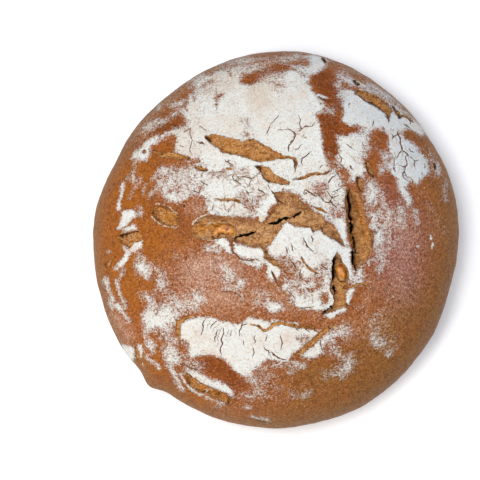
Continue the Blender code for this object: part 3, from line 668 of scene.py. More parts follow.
        (0.55, 3, 3, [(32, -66), (34, -60), (40, -57)]),
        (0.55, 2.2, None, [
            (35, -69), (37, -70), (40, -72.5), (44, -71), (45, -75), (44, -79), (42, -82), (38, -84),
            (35, -82), (36, -78.5), (39, -76.5), (37, -74)]),
        (0.5, 2.5, 1.8, [(30, -83), (34, -82)]),
        (0.6, 1.5, 1.5, [(11, -77), (15, -77.5)]),
        (0.4, 2.5, 2.5, [(-2, -78), (8, -78), (8, -81)]),
        (0.3, 4, 4, [(-8, -82), (-2, -90)]),
        (0.4, 1.5, 1.2, [(8, -93), (13, -94.5), (19, -93.5)]),
        (0.65, 1, 0.8, [(-14, -106.6), (-9, -107.5), (-5, -108.5)]),
        (0.6, 1, 0.9, [(-18, -101), (-16, -101.5)]),
        (0.4, 2.5, 2, [(-20, -95), (-8, -94)]),
        (0.25, 4, 5, [(58, -50), (62, -58), (66, -64)]),
        (0.55, 1.5, 1.4, [(59, -64.5), (61.5, -64.5)]),
        (0.7, 1, 1.3, [(64.7, -70.7), (66.2, -69)]),
        (0.6, 1.5, 1.5, [(58, -60), (57, -62)]),
        # single clots of flour
        (1.0, 0.4, 0.7, [(92, -0.3), (92, -2.4)]),
        (0.9, 0.4, 0.5, [(92.6, -5.2), (92, -7.4)]),
        (0.9, 0.4, 0.4, [(83.3, -6), (83.5, -6.3)]),
        (0.8, 0.4, 0.4, [(81.4, -13), (81.7, -13.2)]),
        (0.8, 0.4, 0.4, [(68, -36.8), (68.2, -37)]),
        (0.8, 0.4, 0.4, [(89.4, -41), (89.6, -41.2)]),
    ],
    # thin flour: a pink haze over the crust
    "film": [
        (0.55, 8, None, [
            (-62, -12), (-50, -8), (-30, -14), (-6, -22), (8, -30), (24, -46), (40, -50), (30, -52),
            (-10, -50), (-30, -50), (-50, -46), (-60, -36), (-66, -24)]),
        (0.85, 4, 5, [(-47, -22), (-40, -19), (-28, -21)]),
        (0.7, 4, 4, [(-52, -40), (-40, -38), (-28, -40)]),
        (0.5, 8, None, [
            (60, 12), (78, 14), (88, 4), (90, -16), (84, -36), (74, -46), (62, -44), (58, -20)]),
        (0.6, 4, 4, [(66, 10), (74, 6), (76, -2)]),
        (0.6, 3, 5, [(-50, 15), (-44, 14)]),
        (0.5, 3, 5, [(-66, 26), (-56, 24), (-50, 30)]),
        (0.7, 3, 4, [(-95, -46), (-91, -53), (-87, -60)]),
        (0.25, 6, 8, [(-30, -100), (0, -98), (20, -94)]),
        (0.45, 6, 8, [(40, -58), (56, -56)]),
        (0.35, 4, 6, [(-80, 66), (-66, 80), (-50, 92)]),
        (0.35, 4, 5, [(84, 26), (92, 16), (96, 4)]),
        (0.5, 3, 3, [(50, -44), (56, -30)]),
        (0.6, 3, 3, [(22, 27), (28, 25)]),
        (0.7, 3, 3, [(33, 14), (38, 7)]),
    ],
    "gold": [
        (1.0, 6, None, [
            (-107, 20), (-101, 42), (-90, 52), (-74, 54), (-64, 52), (-66, 42), (-74, 36), (-76, 20),
            (-72, 4), (-60, 2), (-50, -4), (-60, -10), (-70, -20), (-76, -32), (-80, -52), (-70, -58),
            (-64, -68), (-70, -82), (-80, -80), (-92, -54), (-102, -32), (-108, -8)]),
        (0.9, 4, 4, [(-52, -94), (-38, -98)]),
        (0.6, 5, 5, [(8, -99), (24, -99)]),
        (0.5, 4, 4, [(70, -54), (80, -50)]),
        (0.5, 5, 4, [(64, -74), (72, -66)]),
        (0.4, 3, 3, [(60, 40), (66, 32)]),
    ],
    "dark": [
        (0.9, 3, 7, [(28, 94), (30, 86), (36, 78)]),
        (0.9, 3, 7, [(30, 66), (34, 60), (32, 50)]),
        (0.8, 3, 3, [(40, 60), (46, 61)]),
        (0.8, 2, 4, [(-68, 63), (-56, 66)]),
        (0.7, 3, 3, [(-74, 74), (-64, 73)]),
        (0.7, 3, 4, [(-15, 93), (-4, 98), (6, 101)]),
        (0.6, 2, 2, [(-42, 92), (-32, 83)]),
        (0.8, 3, 6, [(-42, -76), (-32, -80), (-24, -88)]),
        (0.6, 3, 4, [(60, 52), (62, 58)]),
        (0.6, 3, 4, [(86, 58), (92, 52)]),
        (0.6, 3, 4, [(36, -62), (48, -66)]),
        (0.5, 3, 3, [(84, 24), (90, 18), (92, 6)]),
        (0.4, 3, 4, [(-54, 90), (-48, 90)]),
        (0.5, 3, 3, [(72, 22), (66, 26)]),
    ],
    "mauve": [
        (1.0, 5, None, [
            (56, -4), (66, 3), (76, 3), (84, 6), (88, 12), (90, -4), (88, -20), (85, -36), (80, -48),
            (70, -46), (61, -36), (57, -20)]),
        (0.85, 6, 7, [(66, 22), (76, 10)]),
        (0.4, 5, 6, [(-94, -48), (-88, -58)]),
        (0.35, 6, 8, [(-50, -26), (-36, -20), (-20, -22)]),
        (0.7, 3, 3, [(22, 27), (28, 25)]),
        (0.8, 3, 3, [(33, 14), (38, 7)]),
    ],
    # duller crust towards the rim
    "olive": [
        (1.0, 10, None, [
            (96, 30), (106, 30), (112, -10), (104, -44), (84, -74), (56, -96), (20, -110), (-6, -112),
            (0, -104), (30, -98), (56, -84), (78, -60), (90, -36), (96, -6)]),
        (0.85, 8, 10, [(20, -84), (44, -80), (64, -62), (76, -46)]),
        (0.5, 6, 6, [(70, 80), (90, 58), (100, 36)]),
        (0.5, 6, 6, [(-88, 58), (-76, 72), (-60, 88), (-40, 102)]),
    ],
    # painted cool shade: flour cooler and darker on the right side and under the far rim
    "coolShade": [
        (1.0, 10, None, [
            (62, 100), (96, 60), (112, 10), (96, 10), (76, 24), (62, 40), (50, 66), (20, 92),
            (20, 112)]),
        (0.4, 8, 10, [(26, 8), (40, -10)]),
    ],
    # creamy flour, a little scorched
    "beige": [
        (1.0, 10, None, [(-30, 92), (-6, 98), (6, 90), (2, 74), (-18, 68), (-34, 76)]),
        (0.5, 8, 8, [(-50, 60), (-30, 66)]),
        (0.3, 8, 10, [(-40, -58), (0, -66)]),
    ],
    # how densely the flour has cracked
    "crackle": [
        (0.1, 5, None, [(14, 32), (24, 36), (36, 36), (39, 26), (36, 16), (28, 14), (18, 18), (12, 26)]),
        (0.15, 5, None, [(66, 70), (82, 70), (90, 48), (88, 34), (78, 24), (70, 34), (66, 48)]),
        (0.7, 5, 8, [(-40, 16), (-26, 14), (-16, 20), (-14, 30), (-28, 34)]),
        (0.6, 5, 6, [(-50, 60), (-48, 48), (-52, 34)]),
        (0.45, 6, 8, [(8, 64), (16, 52), (12, 46)]),
        (0.5, 5, 6, [(42, 52), (48, 42)]),
        (0.5, 5, 7, [(10, -8), (26, -14)]),
        (0.25, 6, 8, [(-42, -58), (-20, -62), (2, -66)]),
        (0.5, 4, 4, [(56, 24), (58, 6)]),
        (0.4, 5, 6, [(-44, 88), (-30, 94)]),
    ],
}

# the same kind of rows, for the tears and their lips
tearPaint = {
    # pale lips, flaps and crumbs
    "cream": [
        (0.7, 0.5, 0.5, [(50, 88), (54, 87.6)]),
        (0.7, 0.5, 0.6, [(57, 86.4), (62, 83.8)]),
        (0.7, 0.5, 0.5, [(65, 82), (69, 79.6)]),
        (1.0, 0.5, 0.6, [(47.4, 94.4), (50, 93), (53, 91)]),
        (0.8, 0.5, 0.5, [(-91, 1.4), (-86, 2.2), (-81, 2.5)]),
        (0.8, 0.5, 0.4, [(-71, 17.4), (-67, 17.4), (-62, 15), (-58, 11)]),
        (0.8, 0.5, 0.4, [(-73, 10), (-70, 6.6), (-66, 4.4), (-60, 3), (-57, 3)]),
        (0.9, 0.5, 0.6, [(-49, 5), (-46, 8), (-42, 10), (-40, 10.4)]),
        (0.7, 0.5, 0.5, [(-46, -3.4), (-40, -4.4), (-36, -5.2)]),
        (1.0, 0.5, 1.7, [(-8.8, 7), (-8.4, 7.2)]),
        (0.7, 0.8, 1.0, [(-41, 4.6), (-38.6, 6)]),
        (0.4, 1.0, 1.0, [(8, 13), (12, 16)]),
        (0.5, 0.8, 0.8, [(-14, -3.4), (-8, -2), (-2, 0)]),
        (0.9, 0.5, 0.5, [(-81, -68), (-80, -71.4)]),
        (0.7, 0.5, 0.4, [(-79, -74), (-77, -77.4)]),
        (0.65, 0.5, 0.5, [(-56, -81), (-55, -85), (-52, -89), (-49, -91), (-45, -93), (-36, -97)]),
        (1.0, 0.5, 1.0, [(-41.6, -91), (-41.2, -91.4)]),
        (0.9, 0.5, 0.7, [(-54.2, -81), (-53.8, -82)]),
        (0.8, 0.5, 0.7, [(-47.4, -87), (-45, -89.2)]),
        (0.9, 0.4, 0.5, [(34.6, -33.4), (35, -36)]),
        (0.7, 0.5, 0.6, [(31.4, -29.4), (32.2, -32), (31.2, -34)]),
    ],
    # dark: scorched crumb, and painted shade along the tears' overhung edges, in the slits and in holes
    "scorchAndShade": [
        (0.9, 0.6, 0.9, [(-41.4, 57), (-39.6, 55)]),
        (0.6, 0.6, 0.5, [
            (-39, 53.4), (-35.4, 50.4), (-31.4, 47), (-27, 46.2), (-21, 44.8), (-15, 42.4), (-9, 41)]),
        (0.4, 0.5, 0.4, [(-9, 41), (-4, 41.8), (3, 43)]),
        (0.45, 0.5, 0.35, [(12, 43.4), (11.6, 39), (11, 35.6)]),
        (0.5, 0.5, 0.4, [(-16, 55), (-12, 54.4), (-6, 50.6), (0, 47)]),
        (0.85, 0.6, 0.6, [(-12, 38.4), (-9.4, 38.2), (-9.4, 35), (-7.6, 31.8), (-4.4, 29.4)]),
        (0.5, 0.5, 0.4, [(-4.4, 29.2), (2, 28.2), (8, 29)]),
        (0.5, 0.5, 0.4, [(9.6, 30.6), (13, 31), (14.4, 32)]),
        (0.6, 0.5, 0.4, [(16, 31.4), (22, 34), (27, 33.8), (32, 35.8)]),
        (0.5, 0.5, 0.4, [(-20, -8), (-12, -9.2), (-8, -9.6), (-5.4, -9)]),
        (0.8, 0.5, 0.6, [(20.2, 2), (21.4, 0.2)]),
        (0.8, 0.5, 0.6, [(26, 3), (27, 0)]),
        (0.8, 0.5, 0.5, [(-1, 20.8), (1, 18.6), (3.6, 17)]),
        (0.7, 0.5, 0.6, [(-23.6, -1.4), (-24.4, -5), (-23, -7)]),
        (0.6, 0.5, 0.5, [(27.6, -1.4), (31, -3.6), (35, -5.4), (38.6, -8)]),
        (0.6, 0.6, 0.6, [(29, 5.4), (31, 1), (33.4, -1.6)]),
        (0.6, 0.6, 0.5, [(15.4, 16), (18, 13.6), (21.6, 10.6)]),
        (0.7, 0.5, 0.7, [(40.6, 21), (40.6, 17), (41.2, 12)]),
        (0.6, 0.5, 0.5, [(56.2, 0), (59.4, 0.6)]),
        (0.5, 0.7, 0.6, [(56.6, -1), (56.4, -6), (55.2, -12)]),
        (0.9, 0.5, 0.9, [(57.4, 82), (58.6, 80)]),
        (0.9, 0.5, 0.8, [(60, 77.6), (62.4, 78)]),
        (0.9, 0.5, 0.8, [(64, 75), (66, 72.4), (66.4, 70.4)]),
        (0.8, 0.5, 0.6, [
            (47, 84.6), (50.4, 82.4), (53.4, 80), (57, 79), (60, 77.2), (63, 74.8), (66, 72)]),
        (0.9, 0.4, 0.8, [(70, 78), (71, 75.4), (72.4, 73), (74, 71.4)]),
        (0.9, 0.4, 1.0, [(47.2, 93.4), (47.6, 92.4), (49.2, 91.6)]),
        (0.9, 0.4, 0.9, [(28.6, 108.6), (29.4, 105.4)]),
        (0.8, 0.4, 0.4, [(25.4, 82), (27.4, 80.4), (29.4, 79)]),
        (0.9, 0.5, 0.7, [(47.4, 32.4), (47.4, 29.4), (48.4, 26.8), (49.8, 24.6)]),
        (0.9, 0.5, 0.7, [(52.6, 41.4), (53.2, 38.4), (54.8, 35.6), (57, 33.2)]),
        (0.4, 0.5, 0.4, [
            (33.6, -53.4), (30, -55), (25.4, -58), (20.4, -62.8), (15.8, -67), (11.4, -70.8)]),
        (0.8, 0.4, 0.5, [(-91.4, 0), (-88, 0.8), (-84, 1.2), (-81.4, 1.5)]),
        (0.9, 0.4, 0.8, [(-91.8, -0.8), (-89.6, 0)]),
        (0.6, 0.4, 0.4, [(-92, -3.8), (-88.6, -6), (-85.6, -7.2)]),
        (0.7, 0.5, 0.5, [(-72.4, 12.4), (-71.6, 10), (-69, 8), (-66, 6)]),
        (0.6, 0.5, 0.4, [(-72, 15), (-68, 15.8), (-63, 13.4), (-57, 8.4)]),
        (0.6, 0.5, 0.5, [(-64, 8), (-60.6, 6.4)]),
        (0.5, 0.4, 0.5, [(-83, -65.4), (-82.4, -69), (-81, -73)]),
        (0.3, 0.4, 0.5, [(-79.4, -76), (-79, -78.4), (-77.4, -80)]),
        (0.5, 0.5, 0.6, [(-40, -88.6), (-35, -91), (-30, -93.2), (-27.4, -95.4)]),
        (0.9, 0.4, 0.7, [(-45.6, -88), (-45, -88.2)]),
        (0.6, 0.4, 0.6, [(-34.6, -94.4), (-34, -94.8)]),
        (0.6, 0.4, 0.6, [(-28.8, -98.2), (-28, -98.6)]),
        (0.7, 0.4, 0.5, [(-54.4, -80.4), (-52.6, -82), (-50, -86)]),
        (0.45, 0.4, 0.5, [(-101, -17.4), (-101.4, -15.4)]),
        (0.7, 0.3, 1.1, [(-78.2, 50.1), (-77.8, 50)]),
        (0.1, 0.3, 0.5, [(-78.2, 50.1), (-77.8, 50)]),
        (0.4, 0.4, 0.4, [
            (-72, 50.4), (-69, 48), (-66, 47.4), (-63.4, 46.2), (-60, 46.8), (-56, 45), (-51, 44.4)]),
        (0.9, 0.3, 0.6, [(-54.2, 15.9), (-53.8, 15.7)]),
        (0.7, 0.5, 0.5, [(-47.6, 38.6), (-46, 37.2), (-43, 36.4), (-40.4, 36.4)]),
        (0.5, 0.4, 0.4, [(-36, 19.6), (-32.4, 18.2), (-24, 18.2), (-21, 16.8), (-18, 15.4)]),
        (0.7, 0.6, 0.6, [(-16, -107.4), (-11, -108.8), (-6, -109.6)]),
        (0.5, 0.6, 0.8, [(36, -15), (38.4, -18.6)]),
        (0.9, 0.4, 0.6, [(94.4, 44), (94.8, 41)]),
        (0.7, 0.4, 0.4, [(73, 70.4), (75.4, 72.4), (78.6, 72), (82, 69.2)]),
    ],
    # reddish, thinly baked skin on the crumb
    "ruddy": [
        (0.8, 1.2, 1.4, [(-40, 8.8), (-30, 8.2), (-20, 6.8), (-13, 5.6)]),
        (0.6, 1.5, 3.0, [(2, 21.4), (7, 18), (12, 14)]),
        (1.0, 0.8, 1.2, [(40.8, -22), (42, -26)]),
        (0.7, 1.2, 1.4, [(33, -2), (37, -5)]),
        (0.6, 1.0, 1.2, [(-30, -2.6), (-20, -6)]),
        (0.7, 1.0, 1.0, [(56, 2), (56, -8)]),
    ],
    # baked golden
    "amber": [
        (1.0, 1.5, 2.6, [(-47, 1), (-42, 3.4), (-36, 4.4)]),
        (0.8, 1.5, 1.8, [(47.6, 18), (50, 10), (52.6, 3), (53.6, -5)]),
        (0.65, 1.0, 2.4, [(-53, -82), (-44, -90), (-30, -96)]),
        (0.8, 1.0, 2.4, [(-68, 12), (-60, 8)]),
        (0.6, 1.0, 1.8, [(-28, 52), (-16, 48)]),
        (0.6, 1.0, 1.2, [(36.6, -30), (37, -40)]),
        (0.7, 0.8, 0.8, [(22, 15.2), (26, 13.4), (29, 11.4)]),
        (0.6, 0.8, 1.0, [(31.6, -55.8), (24, -62), (16, -68)]),
    ],
}
farAway = 30.0  # millimetres, for points out of reach of an outline or a line


def outlineDistance(x, y, outline, reach=8):
    # millimetres to a closed outline, negative inside; a point out of reach gets a large distance
    best = np.full(len(x), farAway)
    corners = np.array(outline)
    low, high = corners.min(0) - reach, corners.max(0) + reach
    near = (x > low[0]) & (x < high[0]) & (y > low[1]) & (y < high[1])
    if not near.any():
        return best
    px, py = x[near], y[near]
    nearest = np.full(len(px), farAway)
    inside = np.zeros(len(px), bool)
    for (x0, y0), (x1, y1) in zip(corners, np.roll(corners, -1, 0)):
        dx, dy = x1 - x0, y1 - y0
        t = np.clip(((px - x0) * dx + (py - y0) * dy) / (dx * dx + dy * dy), 0, 1)
        nearest = np.minimum(nearest, np.hypot(px - x0 - t * dx, py - y0 - t * dy))
        if dy:
            inside ^= ((y0 > py) != (y1 > py)) & (px < x0 + (py - y0) * dx / dy)
    best[near] = np.where(inside, -nearest, nearest)
    return best


def lineDistance(x, y, line, reach=8):
    # millimetres to an open line, signed by its side, and the share of its length at the nearest point
    gap, side, along = np.full(len(x), farAway), np.full(len(x), farAway), np.zeros(len(x))
    points = np.array(line)
    low, high = points.min(0) - reach, points.max(0) + reach
    near = (x > low[0]) & (x < high[0]) & (y > low[1]) & (y < high[1])
    if not near.any():
        return gap, side, along
    px, py = x[near], y[near]
    best, bestSide, bestAlong = np.full(len(px), farAway), np.full(len(px), farAway), np.zeros(len(px))
    lengths = np.hypot(*np.diff(points, axis=0).T)
    passed = 0.0
    for (x0, y0), (x1, y1), length in zip(points[:-1], points[1:], lengths):
        dx, dy = (x1 - x0) / length, (y1 - y0) / length
        t = np.clip((px - x0) * dx + (py - y0) * dy, 0, length)
        distance = np.hypot(px - x0 - t * dx, py - y0 - t * dy)
        cross = (py - y0) * dx - (px - x0) * dy
        closer = distance < best
        best = np.where(closer, distance, best)
        bestSide = np.where(closer, np.where(cross < 0, -distance, distance), bestSide)
        bestAlong = np.where(closer, (passed + t) / lengths.sum(), bestAlong)
        passed += length
    gap[near], side[near], along[near] = best, bestSide, bestAlong
    return gap, side, along


def paintField(x, y, rows):
    field = np.zeros(len(x))
    for amount, soft, halfWidth, points in rows:
        blend = 2.2 * soft
        if halfWidth is None:
            distance = outlineDistance(x, y, points, blend + 1)
        else:
            distance = lineDistance(x, y, points, halfWidth + blend + 1)[0] - halfWidth
        field += (amount - field) * smooth(blend, -blend, distance)
    return field


def tearGaps(x, y, ragged=0.0):
    # for each tear, the distance to its edge; ragged shifts the edge
    gaps = {}
    for name, tear in tears.items():
        gaps[name] = outlineDistance(x, y, tear["outline"]) + ragged
    for name, (halfWidth, _, _, line) in slits.items():
        gap, _, along = lineDistance(x, y, line)
        taper = np.clip(4 * along * (1 - along), 0, 1) ** 0.5
        gaps[name] = gap - halfWidth * (0.25 + 0.75 * taper) + 0.9 * ragged
    return gaps


def nearestGap(x, y, ragged=0.0):
    return np.minimum.reduce(list(tearGaps(x, y, ragged).values()))


# The loaf's mesh is a sphere, split finer where the crust shows most, then carried to the loaf's form.
# Places named From are heights on the unit sphere, the others are millimetres.
loafMesh = {
    "startLevel": 6,
    "skirtFrom": -0.06,
    "crownFrom": 0.34,
    "tearBand": 2.2,  # finest this close to a tear's edge, and inside it
    "ragged": 0.7, "raggedOver": 2.6,  # how far a tear's edge wanders, and over what length
    "snap": 0.34,  # points this near a tear's edge move onto it, so that it is crisp
}


def splitWhere(bm, chosen):
    edges = [e for e in bm.edges if chosen[e.verts[0].index] and chosen[e.verts[1].index]]
    bmesh.ops.subdivide_edges(bm, edges=edges, cuts=1, use_grid_fill=True)
    for vert in bm.verts:
        vert.co.normalize()
    bmesh.ops.triangulate(bm, faces=bm.faces)
    bm.verts.index_update()


def directionsOf(bm):
    return np.array([v.co[:] for v in bm.verts])


def makeLoafMesh():
    bm = bmesh.new()
    bmesh.ops.create_icosphere(bm, subdivisions=loafMesh["startLevel"], radius=1.0)
    bm.verts.index_update()
    splitWhere(bm, directionsOf(bm)[:, 2] > loafMesh["skirtFrom"])
    splitWhere(bm, directionsOf(bm)[:, 2] > loafMesh["crownFrom"])
    directions = directionsOf(bm)
    plan = loafSurface(directions)[1]
    gap = nearestGap(plan[:, 0], plan[:, 1])
    splitWhere(bm, (gap < loafMesh["tearBand"]) & (directions[:, 2] > 0))
    mesh = bpy.data.meshes.new("ryeLoaf")
    directions = directionsOf(bm)
    bm.to_mesh(mesh)
    bm.free()
    return mesh, directions


mesh, directions = makeLoafMesh()
points, plan = loafSurface(directions)
middle = (points.min(0) + points.max(0)) / 2
middle[2] = 0
x, y = plan[:, 0], plan[:, 1]
onCrown = directions[:, 2] > 0
count = len(points)
print("loaf mesh:", count, "points,", len(mesh.polygons), "triangles")

flat = np.stack([x, y, np.zeros(count)], 1)
ragged = loafMesh["ragged"] * wander(flat, loafMesh["raggedOver"], 4, 1)
step = 0.05
gap = nearestGap(x, y, ragged)
slopeX = (nearestGap(x + step, y, ragged) - gap) / step
slopeY = (nearestGap(x, y + step, ragged) - gap) / step
steepness = np.maximum(0.3, np.hypot(slopeX, slopeY))
close = (np.abs(gap) < loafMesh["snap"]) & onCrown
x = np.where(close, x - gap * slopeX / steepness ** 2, x)
y = np.where(close, y - gap * slopeY / steepness ** 2, y)
points[onCrown] = np.stack([x, y, crownHeight(x, y)], 1)[onCrown]
flat = np.stack([x, y, np.zeros(count)], 1)
gaps = tearGaps(x, y, ragged)
mesh.vertices.foreach_set("co", (points * mm).ravel())
mesh.update()
normals = np.zeros(count * 3)
mesh.vertices.foreach_get("normal", normals)
normals = normals.reshape(-1, 3)

# Relief of the tears and cracks, in millimetres.
tearForm = {
    "poreSize": 1.6, "lumpSize": 5.0,  # fine and coarse lumps of the crumb
    # how far inside the edge the wall ends and the middle comes up
    "wall": 0.9, "riseFrom": 1.0, "riseTo": 5.0,
    "lipFrom": 0.7, "lipWidth": 1.1, "slitLip": 0.2,
    # the crumb of these two leans down to its left wall: from x, to x, how far
    "lean": {"right": (58, 44, 2.2), "kernelTear": (42, 31, 1.2)},
    "moatFrom": 0.2, "moatWidth": 0.55, "moatDepth": 1.1,  # the crumb has shrunk from the kernels
    "crackDepth": 0.25, "crackWidth": 0.7,  # fine cracks: depth, and width as a share of the one in their row
    "lineWander": 0.5, "lineWanderOver": 1.8,
}

depth = np.zeros(count)
edgeGap = np.full(count, 3.0)
golden = np.full(count, 0.5)
lip = np.zeros(count)
slitFlecks = np.zeros(count)
crumbNoise = wander(points, tearForm["poreSize"], 4, 3)
crumbSwell = wander(points, tearForm["lumpSize"], 2, 4)
for name, gapHere in gaps.items():
    inner = -gapHere
    if name in tears:
        drop, rise, curl, tone = (tears[name][key] for key in ("drop", "rise", "lip", "golden"))
        hollow = drop * smooth(-0.05, tearForm["wall"], inner)
        hollow = hollow - rise * smooth(tearForm["riseFrom"], tearForm["riseTo"], inner)
        hollow += (0.5 * crumbNoise + 0.5 * crumbSwell) * smooth(0.2, 1.4, inner)
    else:
        halfWidth, drop, tone, _ = slits[name]
        curl = tearForm["slitLip"]
        hollow = drop * smooth(-0.05, 0.8 * halfWidth, inner) + 0.15 * crumbNoise * smooth(0.2, 0.8, inner)
        slitFlecks = np.maximum(slitFlecks, (inner > -0.2) * np.clip(crumbNoise - 0.15, 0, 0.45))
    depth = np.maximum(depth, np.where(inner > -0.05, hollow, 0))
    golden = np.where(gapHere < edgeGap, tone, golden)
    fromLip = (np.maximum(gapHere, 0) - tearForm["lipFrom"]) / tearForm["lipWidth"]
    lip = np.maximum(lip, curl * np.exp(-fromLip ** 2) * (gapHere > -0.1))
    edgeGap = np.minimum(edgeGap, gapHere)

# the edge of the right tear itself stays upright, so its lean starts a little inside
uprightEdge = {"right": smooth(40.5, 43.5, x) * smooth(0, 1.5, -gaps["right"]),
               "kernelTear": smooth(0, 1.0, -gaps["kernelTear"])}
for name, (fromX, toX, lean) in tearForm["lean"].items():
    depth += lean * smooth(fromX, toX, x) * (gaps[name] < 0) * uprightEdge[name]

moat = np.zeros(count)
for kernel in kernels.values():
    spine = np.array(kernel["spine"])
    outside = np.full(count, 9.0)
    for stop in np.linspace(0, len(spine) - 1, 25):
        stopX, stopY, _, halfWidth = (np.interp(stop, np.arange(len(spine)), column) for column in spine.T)
        outside = np.minimum(outside, np.hypot(x - stopX, y - stopY) - halfWidth)
    ring = np.exp(-(((outside - tearForm["moatFrom"]) / tearForm["moatWidth"]) ** 2))
    moat = np.maximum(moat, ring * (edgeGap < -0.3))
depth += tearForm["moatDepth"] * moat

lineSide = np.full(count, 3.0)
lineWidth = np.zeros(count)
lineShade = np.zeros(count)
lineGap = np.full(count, farAway)
allLines = [(width, deep, 1.0, line) for width, deep, line in fissures]
allLines += [(tearForm["crackWidth"] * width, tearForm["crackDepth"], 0.0, line) for width, line in cracks]
wobbles = [wander(flat, tearForm["lineWanderOver"], 2, seed) for seed in (5, 6)]
wobbleX, wobbleY = (tearForm["lineWander"] * wobble for wobble in wobbles)
fissureEdge = np.clip(0.9 + 0.6 * wander(flat, 2.6, 3, 7), 0.4, 1.4)
for halfWidth, grooveDepth, black, line in allLines:
    gapHere, side, along = lineDistance(x + wobbleX, y + wobbleY, line)
    taper = np.clip(5 * along * (1 - along), 0, 1) ** 0.6
    width = halfWidth * (0.2 + 0.8 * taper)
    if black:
        width = width * fissureEdge
    score = gapHere - width
    closer = score < lineGap
    lineGap = np.where(closer, score, lineGap)
    lineSide = np.where(closer, side, lineSide)
    lineWidth = np.where(closer, width * (gapHere < 2.4), lineWidth)
    lineShade = np.where(closer, black, lineShade)
    groove = grooveDepth * np.exp(-((gapHere / np.maximum(width, 0.3)) ** 2))
    depth += groove * np.minimum(1, width / halfWidth + 0.2)
print("tears and cracks cut")

# Flour, bake and the swells of the crust. Shares are of the outline's radius, on the plan rolled out flat.
crustForm = {
    # how far the painted patches drift: millimetres, over what length, then the seeds for x and y
    "drift": [(0.9, 6, 8, 9), (0.5, 2.2, 10, 11)],
    "tearDrift": 0.3,  # the paint in the tears drifts by this share of it
    "hazeShares": (0.95, 1.12), "rimShares": (0.90, 1.02), "footShares": (1.36, 1.46),
    # swells of the crust: height, length, octaves, seed
    "swells": [(0.55, 32, 2, 14), (0.28, 11, 3, 15), (0.10, 3.2, 3, 16)],
    "plate": 0.16,  # thickness of a flour plate
}
driftX = sum(far * wander(flat, over, 2, seed) for far, over, seed, _ in crustForm["drift"])
driftY = sum(far * wander(flat, over, 2, seed) for far, over, _, seed in crustForm["drift"])
fields = {name: paintField(x + driftX, y + driftY, rows) for name, rows in paint.items()}
tearX, tearY = x + crustForm["tearDrift"] * driftX, y + crustForm["tearDrift"] * driftY
fields.update({name: paintField(tearX, tearY, rows) for name, rows in tearPaint.items()})
# painted shade in the gap where the crumb shrank from the kernels, and dark flecks in the slits, join the
# scorched and shaded paint
shadedMoat = moat * np.clip(0.45 + 0.5 * wander(flat, 4, 2, 18), 0, 0.8)
fields["scorchAndShade"] = np.maximum.reduce([fields["scorchAndShade"], shadedMoat, slitFlecks])
share = np.hypot(x, y) / outlineRadius(np.arctan2(y, x))
# flour that reached the flank and the foot from the proving basket and the hearth
flankHaze = np.clip(0.35 + 0.5 * wander(points, 22, 3, 12), 0, 1) * smooth(*crustForm["hazeShares"], share)
fields["film"] = np.maximum(fields["film"], flankHaze)
fields["rim"] = smooth(*crustForm["rimShares"], share)

plate = smooth(0.3, 0.7, fields["flour"]) * (edgeGap > 0)
height = sum(up * wander(points, over, octaves, seed) for up, over, octaves, seed in crustForm["swells"])
height += crustForm["plate"] * plate * (1 + 0.5 * wander(points, 4.0, 3, 13))
height += lip
height = height * (points[:, 2] > 0.01) - depth  # the foot stays on its plane
points += normals * height[:, None]
points -= middle
footUneven = np.clip(0.35 + 0.4 * wander(points, 16, 3, 17), 0, 1) * smooth(*crustForm["footShares"], share)
points[:, 2] = np.where(points[:, 2] < 0.02, footUneven, points[:, 2])
mesh.vertices.foreach_set("co", (points * mm).ravel())
mesh.update()
mesh.shade_smooth()

fields.update({
    "tearGap": np.clip(edgeGap, -3, 3), "golden": golden, "deep": depth,
    "lineSide": lineSide, "lineWidth": lineWidth, "lineShade": lineShade,
})
for name, values in fields.items():
    layer = mesh.attributes.new(name, "FLOAT", "POINT")
    layer.data.foreach_set("value", values.astype(np.float32))
loaf = bpy.data.objects.new("ryeLoaf", mesh)
bpy.context.scene.collection.objects.link(loaf)
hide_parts("loaf")
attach(loaf, "root")
print("loaf shaped")

# Baked rye crust: starch skin browned in the oven, matt, dusted with rye flour that cracked as the loaf
# rose. Thin flour reads as single pale grains on brown, thick flour as chalky plates with brown hairlines.
crustLook = {
    "colours": {
        "brown": "#985628", "gold": "#a25c18", "dark": "#7e3c0c", "mauve": "#8e5350", "char": "#5a2c0e",
        "glint": "#ba7438", "olive": "#87602e", "rimBrown": "#8a673e",
        "haze": "#dbb69c", "thinFlour": "#e2cdbd", "flour": "#dcddd7", "flourCoolShade": "#cad0d1",
        "flourBeige": "#d0c4b4", "flourShade": "#bb9a80", "flourBlush": "#d6b8a4",
        "crackBrown": "#6a4226", "hairBrown": "#987254", "fissureShade": "#120803",
        "crumbPale": "#ca9766", "crumbGolden": "#c88a4a", "crumbAmber": "#c27824", "crumbRed": "#a06644",
        "crumbDark": "#6c3e1a", "crumbLight": "#dfb780", "scorchAndShade": "#3c1c0a", "lipCream": "#ddcdb6",
    },
    # size in millimetres, detail, roughness, distortion, and what the pattern lies on
    "patterns": {
        "mottle": (13, 4, 0.6, 0, "place"),
        "blotch": (3.6, 5, 0.65, 0, "place"),
        "grain": (1.4, 3, 0.75, 0, "place"),
        "speck": (0.8, 2, 0.7, 0, "place"),
        "swirl": (3.0, 4, 0.7, 2.2, "place"),  # the peel and hands smeared the thin flour
        "rings": (1000, 5, 0.62, 0, "coiled"),  # coiled is in ring widths already
        "torn": (2.6, 5, 0.72, 0.8, "pulled"),
    },
    "ringMm": 3.2, "ringsRound": 7.0,
    "fibreAngle": 52, "fibreStretch": 0.5,
    "bendsMm": [(12, 6), (1.6, 1.0)],  # the hairlines' bends: over what length, and how far
    "netsMm": {"coarseNet": (6.5, 0.42), "fineNet": (2.925, 0.28)},  # mesh and line width of the hairlines
    "poreMm": 1.5, "reliefMm": 0.4,
    "ior": 1.42, "specular": 0.15,
}

